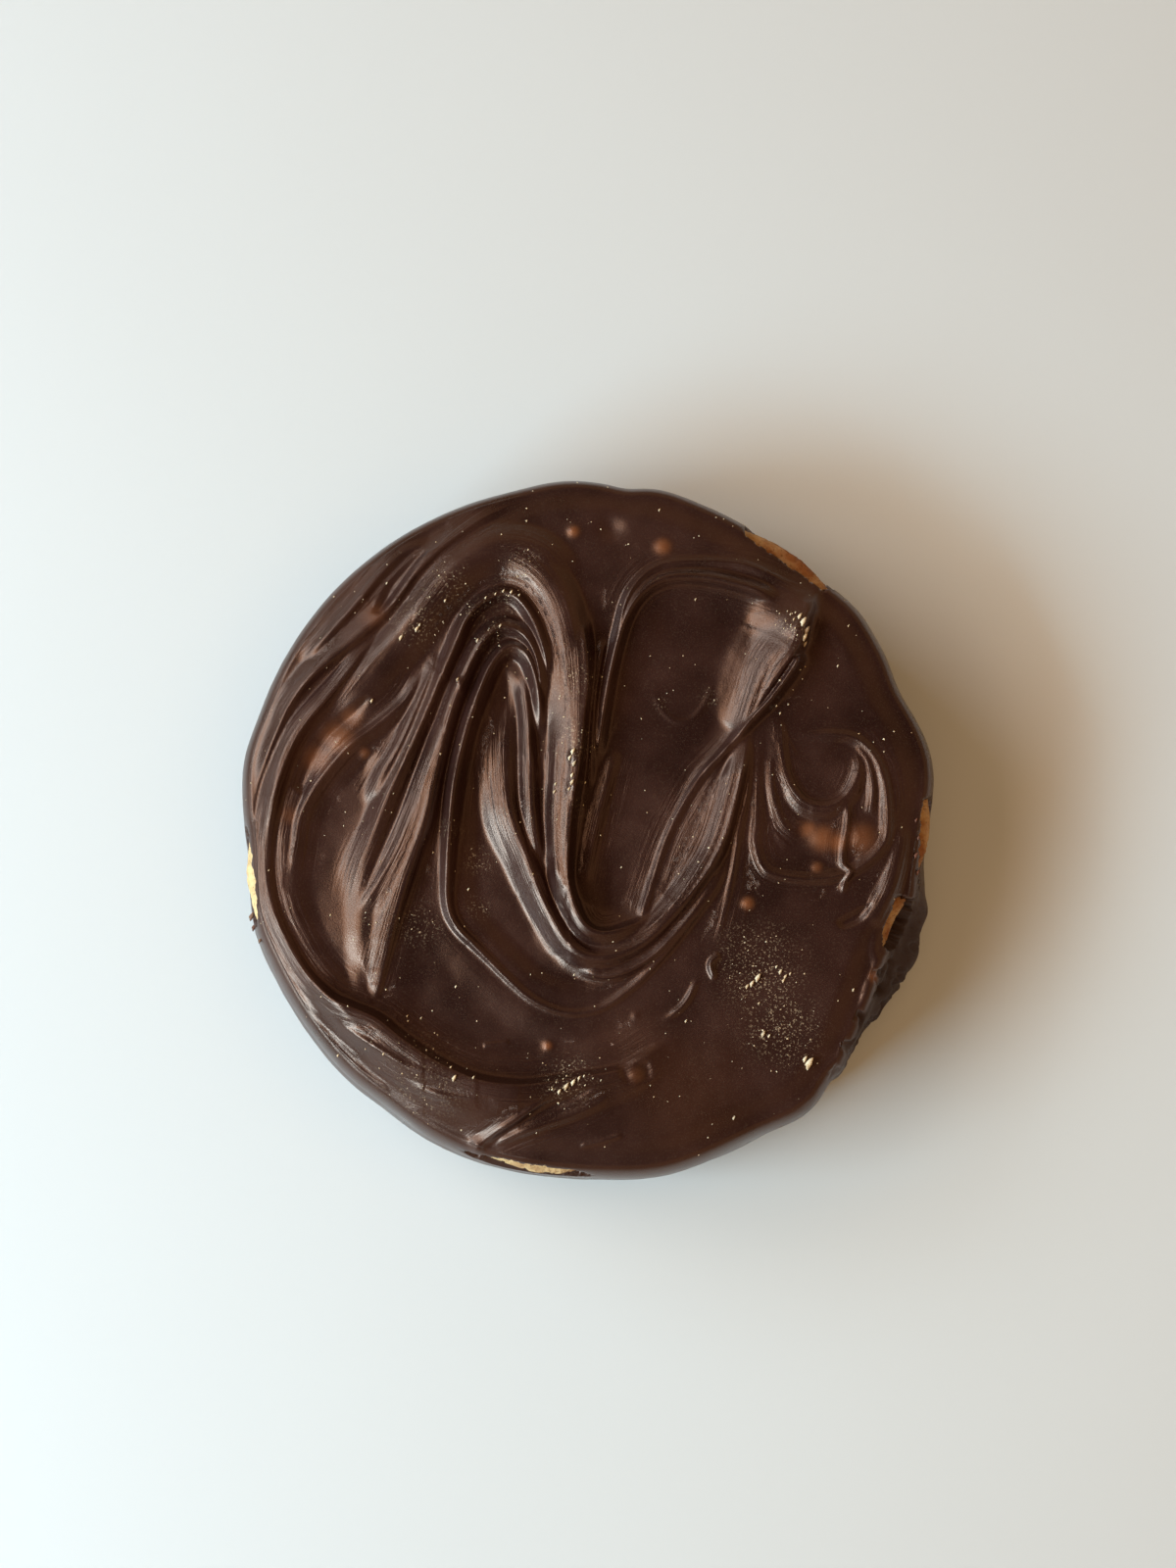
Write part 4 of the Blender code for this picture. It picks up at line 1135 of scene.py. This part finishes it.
def layerPiece(name, reach, low, high, rounding, roughen, rows=40, attributes=None):
    # Round layer: rounded edge, flat faces closed by rings, and crumb worked into its side.
    columns, edgeRows = biscuitValues["columns"], biscuitValues["edgeRows"]
    angle = np.arange(columns) * 360.0 / columns
    cos, sin = np.cos(np.radians(angle)), np.sin(np.radians(angle))
    profile = [(rounding * (1 - math.sin(t)), low + rounding * (1 - math.cos(t)))
               for t in np.linspace(0, math.pi / 2, edgeRows)]
    straight = np.linspace(low + rounding, high - rounding, rows - 2 * edgeRows)
    profile += [(0.0, height) for height in straight[1:-1]]
    profile += [(inset, low + high - height) for inset, height in profile[:edgeRows][::-1]]
    wide, narrow = biscuitValues["flatRings"]
    profile = [(wide, low), (narrow, low)] + profile + [(narrow, high), (wide, high)]
    points = []
    faces = []
    for number, (inset, height) in enumerate(profile):
        radius = reach(angle) - inset
        x, y, z = radius * cos, radius * sin, np.full(columns, height)
        change = roughen(x, y, z)
        points.append(np.stack([(radius + change) * cos, (radius + change) * sin, z], axis=-1))
        if number:
            lower = (number - 1) * columns + np.arange(columns)
            faces.append(ringQuads(lower + columns, lower))
    points.append(np.array([[0.0, 0.0, low], [0.0, 0.0, high]]))
    count = len(profile) * columns
    first, last = np.arange(columns), np.arange(columns) + (len(profile) - 1) * columns
    bottomFan = np.stack([np.roll(first, -1), first, np.full(columns, count)], axis=-1)
    topFan = np.stack([last, np.roll(last, -1), np.full(columns, count + 1)], axis=-1)
    points = np.vstack(points)
    marks = {label: rule(points) for label, rule in (attributes or {}).items()}
    return newPiece(name, points, np.vstack(faces), np.vstack([bottomFan, topFan]), marks)


def crumbRough(x, y, z):
    poreDepth, poreSize = biscuitValues["pores"]
    waveDepth, waveSize = biscuitValues["waves"]
    pores = 1.0 - smoothStep(0.0, 0.35, np.abs(fractal(x, y, z, poreSize, 3, 21)))
    return -poreDepth * pores + waveDepth * fractal(x, y, z, waveSize, 2, 25)


def fillingRough(x, y, z):
    depth, size = fillingValues["waves"]
    return depth * fractal(x, y, z, size, 2, 31)


# How brown the biscuit is, from 0 to 1: browned in baking, with painted shade round its side
bakeAndShadeValues = {
    "base": 0.25,
    "patches": (0.25, 1.8),  # change and size
    # painted shade round its side, browner on the shaded right and upper right and paler on the lit left:
    # angle, change, half width
    "around": ((54, 0.65, 16), (358, 0.6, 14), (190, -0.25, 16), (262, 0.1, 16), (344, 0.4, 8)),
}


def bakeAndShadeAt(points):
    change, size = bakeAndShadeValues["patches"]
    around = bakeAndShadeValues["base"] + bumpsAt(turnOf(points), bakeAndShadeValues["around"])
    return np.clip(around + change * lumpy(points[:, 0], points[:, 1], points[:, 2], size, 41), 0.0, 1.0)


def makeLayers():
    baked = biscuitMaterial()
    bake = {"bake": bakeAndShadeAt}
    biscuit = {"rounding": biscuitValues["rounding"], "roughen": crumbRough, "attributes": bake}
    smooth = {"rounding": fillingValues["rounding"], "roughen": fillingRough, "rows": 28}
    upper = layerPiece("upperBiscuit", upperReach, upperLow.z, upperHigh.z, **biscuit)
    lower = layerPiece("lowerBiscuit", lowerReach, lowerLow.z, lowerHigh.z, **biscuit)
    filling = layerPiece("caramelLayer", fillingReach, fillingLow.z, fillingHigh.z, **smooth)
    upper.data.materials.append(baked)
    lower.data.materials.append(baked)
    filling.data.materials.append(caramelMaterial())
    return upper, lower, filling


print("chocolate coat")
coat = makeCoat()
print("biscuits and filling")
upperBiscuit, lowerBiscuit, caramelLayer = makeLayers()

# Crumbs on the coat

crumbValues = {
    "density": 1.1,          # small crumbs on a square millimetre where the dust is thickest
    "small": (0.03, 0.08),   # half widths of the small crumbs
    "lump": 0.5,             # how uneven a crumb is, as a share of its half width
    "stretch": (0.5, 1.6),
    "rise": 0.3,             # how far a large crumb sits up on the coat, as a share of its half width
    "seed": 11,
}

# Larger crumbs and broken chips: place, half width, tone (0 cream, 1 brown)
crumbPlaces = (
    (17.3, -15, 0.38, 0.1), (16.7, -15.6, 0.3, 0.2), (16.2, -15.9, 0.22, 0.1), (19.6, -14.4, 0.24, 0.0),
    (20.1, -14.9, 0.22, 0.1), (19.9, -15.3, 0.2, 0.0), (20.6, -14.6, 0.16, 0.0),
    (19.2, -13.9, 0.15, 0.2), (22.4, -23.6, 0.55, 0.1), (22.0, -23.2, 0.3, 0.3), (17.8, -20.7, 0.3, 0.4),
    (18.4, -20.9, 0.18, 0.2), (17.4, -17.6, 0.14, 0.0), (27, -16.2, 0.16, 0.0), (10, -19.4, 0.16, 0.3),
    (14.8, -29.1, 0.2, 0.5), (-22.1, 13.4, 0.2, 0.0), (-19.1, 19.8, 0.26, 0.1), (-17.5, 20.7, 0.26, 0.2),
    (-17.2, 21.1, 0.16, 0.2), (-14.6, 23.7, 0.16, 0.1), (-20.7, 25.8, 0.13, 0.0), (-0.2, 4.9, 0.13, 0.0),
    (11.2, 24.1, 0.13, 0.0), (7.5, 33.6, 0.14, 0.1), (27, 21.4, 0.12, 0.0), (25.8, 17.1, 0.13, 0.0),
    (19.8, 12.1, 0.13, 0.0), (-13.3, -25.2, 0.3, 0.1), (-13.7, -24.2, 0.16, 0.0),
    (-11.4, -25.2, 0.16, 0.3), (-20.4, -22.8, 0.14, 0.2), (-25.2, -22.8, 0.16, 0.1),
    (-12.1, -6, 0.14, 0.0), (-13.3, -15.9, 0.14, 0.0), (-26.1, -8.6, 0.12, 0.0),
    (-18.2, -18.9, 0.12, 0.0), (-16.8, -19.1, 0.12, 0.0), (-1.3, -14.7, 0.12, 0.0),
    (-18.1, -19.4, 0.1, 0.0), (-1.4, 7.8, 0.3, 0.2), (-1.7, 7.2, 0.24, 0.1), (-1.3, 6.6, 0.26, 0.4),
    (-1.5, 5.4, 0.22, 0.2), (-1.5, 4.6, 0.26, 0.1), (-1.8, 4, 0.18, 0.1), (-3.2, 4.6, 0.16, 0.0),
    (-3.3, 3.8, 0.18, 0.1), (21.8, 21.9, 0.3, 0.1), (22.1, 21.3, 0.42, 0.3), (22.4, 20.5, 0.4, 0.6),
    (22.2, 19.8, 0.36, 0.2), (22.3, 19.2, 0.26, 0.5), (21.2, 21.6, 0.14, 0.0), (20.9, 22.2, 0.12, 0.1),
    (20.4, 21.5, 0.1, 0.0), (19.8, 22.4, 0.09, 0.0), (20.2, 20.7, 0.09, 0.0), (21.3, 20.6, 0.12, 0.0),
    (21.5, 19.9, 0.1, 0.1), (20.9, 21, 0.09, 0.0), (20.6, 22.6, 0.09, 0.0), (21.4, 22.4, 0.1, 0.0),
    (19.4, 21.2, 0.08, 0.0), (-0.8, -25.2, 0.2, 0.1), (-1.4, -25.6, 0.3, 0.0), (-2.1, -26.0, 0.34, 0.3),
    (-2.8, -26.5, 0.24, 0.1), (-0.3, -25.0, 0.12, 0.2), (-3.5, -26.3, 0.12, 0.1), (1.4, -25.4, 0.1, 0.2),
    (-2.4, -25.3, 0.1, 0.0), (-3.1, -25.6, 0.09, 0.0), (-0.2, -25.9, 0.09, 0.1), (0.6, -25.2, 0.08, 0.0),
    (-13.2, 15.3, 0.2, 0.5), (-8.9, 20.9, 0.18, 0.4), (-11.2, 19.4, 0.2, 0.5), (-7.8, 24.5, 0.2, 0.1),
    (-8.6, 24.6, 0.16, 0.0), (-9.4, 24.3, 0.14, 0.1), (-7, 24.2, 0.14, 0.0), (-10.4, 23.9, 0.14, 0.2),
    (33.6, -2.4, 0.3, 1.0), (33.8, -4.1, 0.26, 1.0), (33.9, -0.6, 0.22, 1.0), (33.7, 1.2, 0.2, 1.0),
    (-34.6, -8.2, 0.42, 0.9), (-34.5, -9.2, 0.36, 1.0), (-34.2, -7.2, 0.24, 0.8),
    (-33.4, -11, 0.26, 0.9),
)


def crumbPoints():
    # Loose points on the coat, each with a half width and a tone.
    corners = []
    for x, y, size, _ in crumbPlaces:
        over = (x + swirlOrigin[0] + centreOffset[0], y + swirlOrigin[1] + centreOffset[1])
        above = Vector((*over, 40.0)) * mm
        place, normal = coat.ray_cast(above, Vector((0.0, 0.0, -1.0)))[1:3]
        corners.append(place + normal * size * crumbValues["rise"] * mm)
    mesh = bpy.data.meshes.new("crumbPoints")
    mesh.from_pydata(corners, [], [])
    for label, column in (("size", 2), ("tone", 3)):
        layer = mesh.attributes.new(label, "FLOAT", "POINT")
        layer.data.foreach_set("value", [row[column] for row in crumbPlaces])
    return mesh


def crumbTree():
    # Points from the surface and the loose points both become small uneven crumbs.
    tree = bpy.data.node_groups.new("crumbScatter", "GeometryNodeTree")
    addSockets(tree, "INPUT", {
        "Geometry": "Geometry", "Surface": "Object", "Density": "Float", "Smallest": "Float",
        "Largest": "Float", "Unevenness": "Float", "Seed": "Int", "Material": "Material"})
    addSockets(tree, "OUTPUT", {"Geometry": "Geometry"})
    start = addNode(tree, "NodeGroupInput").outputs
    end = addNode(tree, "NodeGroupOutput")

    def named(label):
        node = addNode(tree, "GeometryNodeInputNamedAttribute", {"Name": label}, data_type="FLOAT")
        return node.outputs["Attribute"]

    def random(low, high, seed, kind="FLOAT"):
        node = addNode(tree, "FunctionNodeRandomValue", data_type=kind)
        sockets = [socket for socket in node.inputs if socket.enabled and socket.name in ("Min", "Max")]
        for socket, value in zip(sockets, (low, high)):
            feed(tree, socket, value)
        node.inputs["Seed"].default_value = seed
        return [socket for socket in node.outputs if socket.enabled][0]

    def stored(geometry, label, value):
        inputs = {"Geometry": geometry, "Name": label, "Value": value}
        node = addNode(tree, "GeometryNodeStoreNamedAttribute", inputs, data_type="FLOAT", domain="POINT")
        return node.outputs["Geometry"]

    surface = addNode(tree, "GeometryNodeObjectInfo", {"Object": start["Surface"]}).outputs["Geometry"]
    density = maths(tree, "MULTIPLY", maths(tree, "MULTIPLY", named("crumbs"), start["Density"]), 1e6)
    dust = addNode(tree, "GeometryNodeDistributePointsOnFaces",
                   {"Mesh": surface, "Density": density, "Seed": start["Seed"]}).outputs["Points"]
    dust = stored(dust, "size", random(start["Smallest"], start["Largest"], 3))
    dust = stored(dust, "tone", random(0.0, 0.6, 4))
    loose = addNode(tree, "GeometryNodeMeshToPoints", {"Mesh": start["Geometry"]}).outputs["Points"]
    joined = addNode(tree, "GeometryNodeJoinGeometry")
    tree.links.new(dust, joined.inputs["Geometry"])
    tree.links.new(loose, joined.inputs["Geometry"])
    ball = addNode(tree, "GeometryNodeMeshIcoSphere", {"Radius": mm, "Subdivisions": 2}).outputs["Mesh"]
    place = addNode(tree, "GeometryNodeInputPosition").outputs["Position"]
    wavePlace = {"Vector": place, "Scale": 1100.0, "Detail": 1.0}
    waves = addNode(tree, "ShaderNodeTexNoise", wavePlace).outputs["Fac"]
    push = maths(tree, "MULTIPLY", maths(tree, "SUBTRACT", waves, 0.5), start["Unevenness"])
    push = maths(tree, "MULTIPLY", push, 3.0)
    offset = addNode(tree, "ShaderNodeVectorMath", operation="SCALE")
    tree.links.new(place, offset.inputs[0])
    tree.links.new(push, offset.inputs["Scale"])
    pushed = {"Geometry": ball, "Offset": offset.outputs["Vector"]}
    crumb = addNode(tree, "GeometryNodeSetPosition", pushed).outputs["Geometry"]
    low, high = crumbValues["stretch"]
    stretch = addNode(tree, "ShaderNodeVectorMath", operation="SCALE")
    tree.links.new(random((low,) * 3, (high,) * 3, 5, "FLOAT_VECTOR"), stretch.inputs[0])
    tree.links.new(named("size"), stretch.inputs["Scale"])
    turn = random((0.0, 0.0, 0.0), (6.28, 6.28, 6.28), 6, "FLOAT_VECTOR")
    placed = addNode(tree, "GeometryNodeInstanceOnPoints", {
        "Points": joined.outputs["Geometry"], "Instance": crumb, "Scale": stretch.outputs["Vector"],
        "Rotation": turn}).outputs["Instances"]
    real = addNode(tree, "GeometryNodeRealizeInstances", {"Geometry": placed}).outputs["Geometry"]
    done = addNode(tree, "GeometryNodeSetMaterial", {"Geometry": real, "Material": start["Material"]})
    tree.links.new(done.outputs["Geometry"], end.inputs["Geometry"])
    return tree


def makeCrumbs():
    values = crumbValues
    piece = bpy.data.objects.new("paleCrumbs", crumbPoints())
    bpy.context.scene.collection.objects.link(piece)
    modifier = piece.modifiers.new("crumbs", "NODES")
    modifier.node_group = crumbTree()
    settings = {
        "Surface": coat, "Density": values["density"], "Smallest": values["small"][0],
        "Largest": values["small"][1], "Unevenness": values["lump"], "Seed": values["seed"],
        "Material": crumbMaterial(),
    }
    for socket in modifier.node_group.interface.items_tree:
        if socket.in_out == "INPUT" and socket.name in settings:
            modifier[socket.identifier] = settings[socket.name]
    mesh = bpy.data.meshes.new_from_object(piece.evaluated_get(bpy.context.evaluated_depsgraph_get()))
    piece.modifiers.clear()
    piece.data = mesh
    mesh.name = "paleCrumbs"
    mesh.shade_smooth()
    return piece


print("crumbs")
crumbs = makeCrumbs()


def makeFloor():
    half = floorValues["half"] * mm
    corners = [(-half, -half, 0), (half, -half, 0), (half, half, 0), (-half, half, 0)]
    mesh = bpy.data.meshes.new("paleFloor")
    mesh.from_pydata(corners, [], [(0, 1, 2, 3)])
    mesh.materials.append(floorMaterial())
    floor = bpy.data.objects.new("paleFloor", mesh)
    bpy.context.scene.collection.objects.link(floor)


print("floor")
makeFloor()

print("joining the pieces to the frame")
for piece, node, slot in (
    (coat, "chocolate_coat", "chocolate"),
    (upperBiscuit, "upper_biscuit", "biscuit"),
    (caramelLayer, "caramel_filling", "caramel"),
    (lowerBiscuit, "lower_biscuit", "biscuit"),
    (crumbs, None, "biscuit"),
):
    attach(piece, "root")
    if node:
        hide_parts(node)
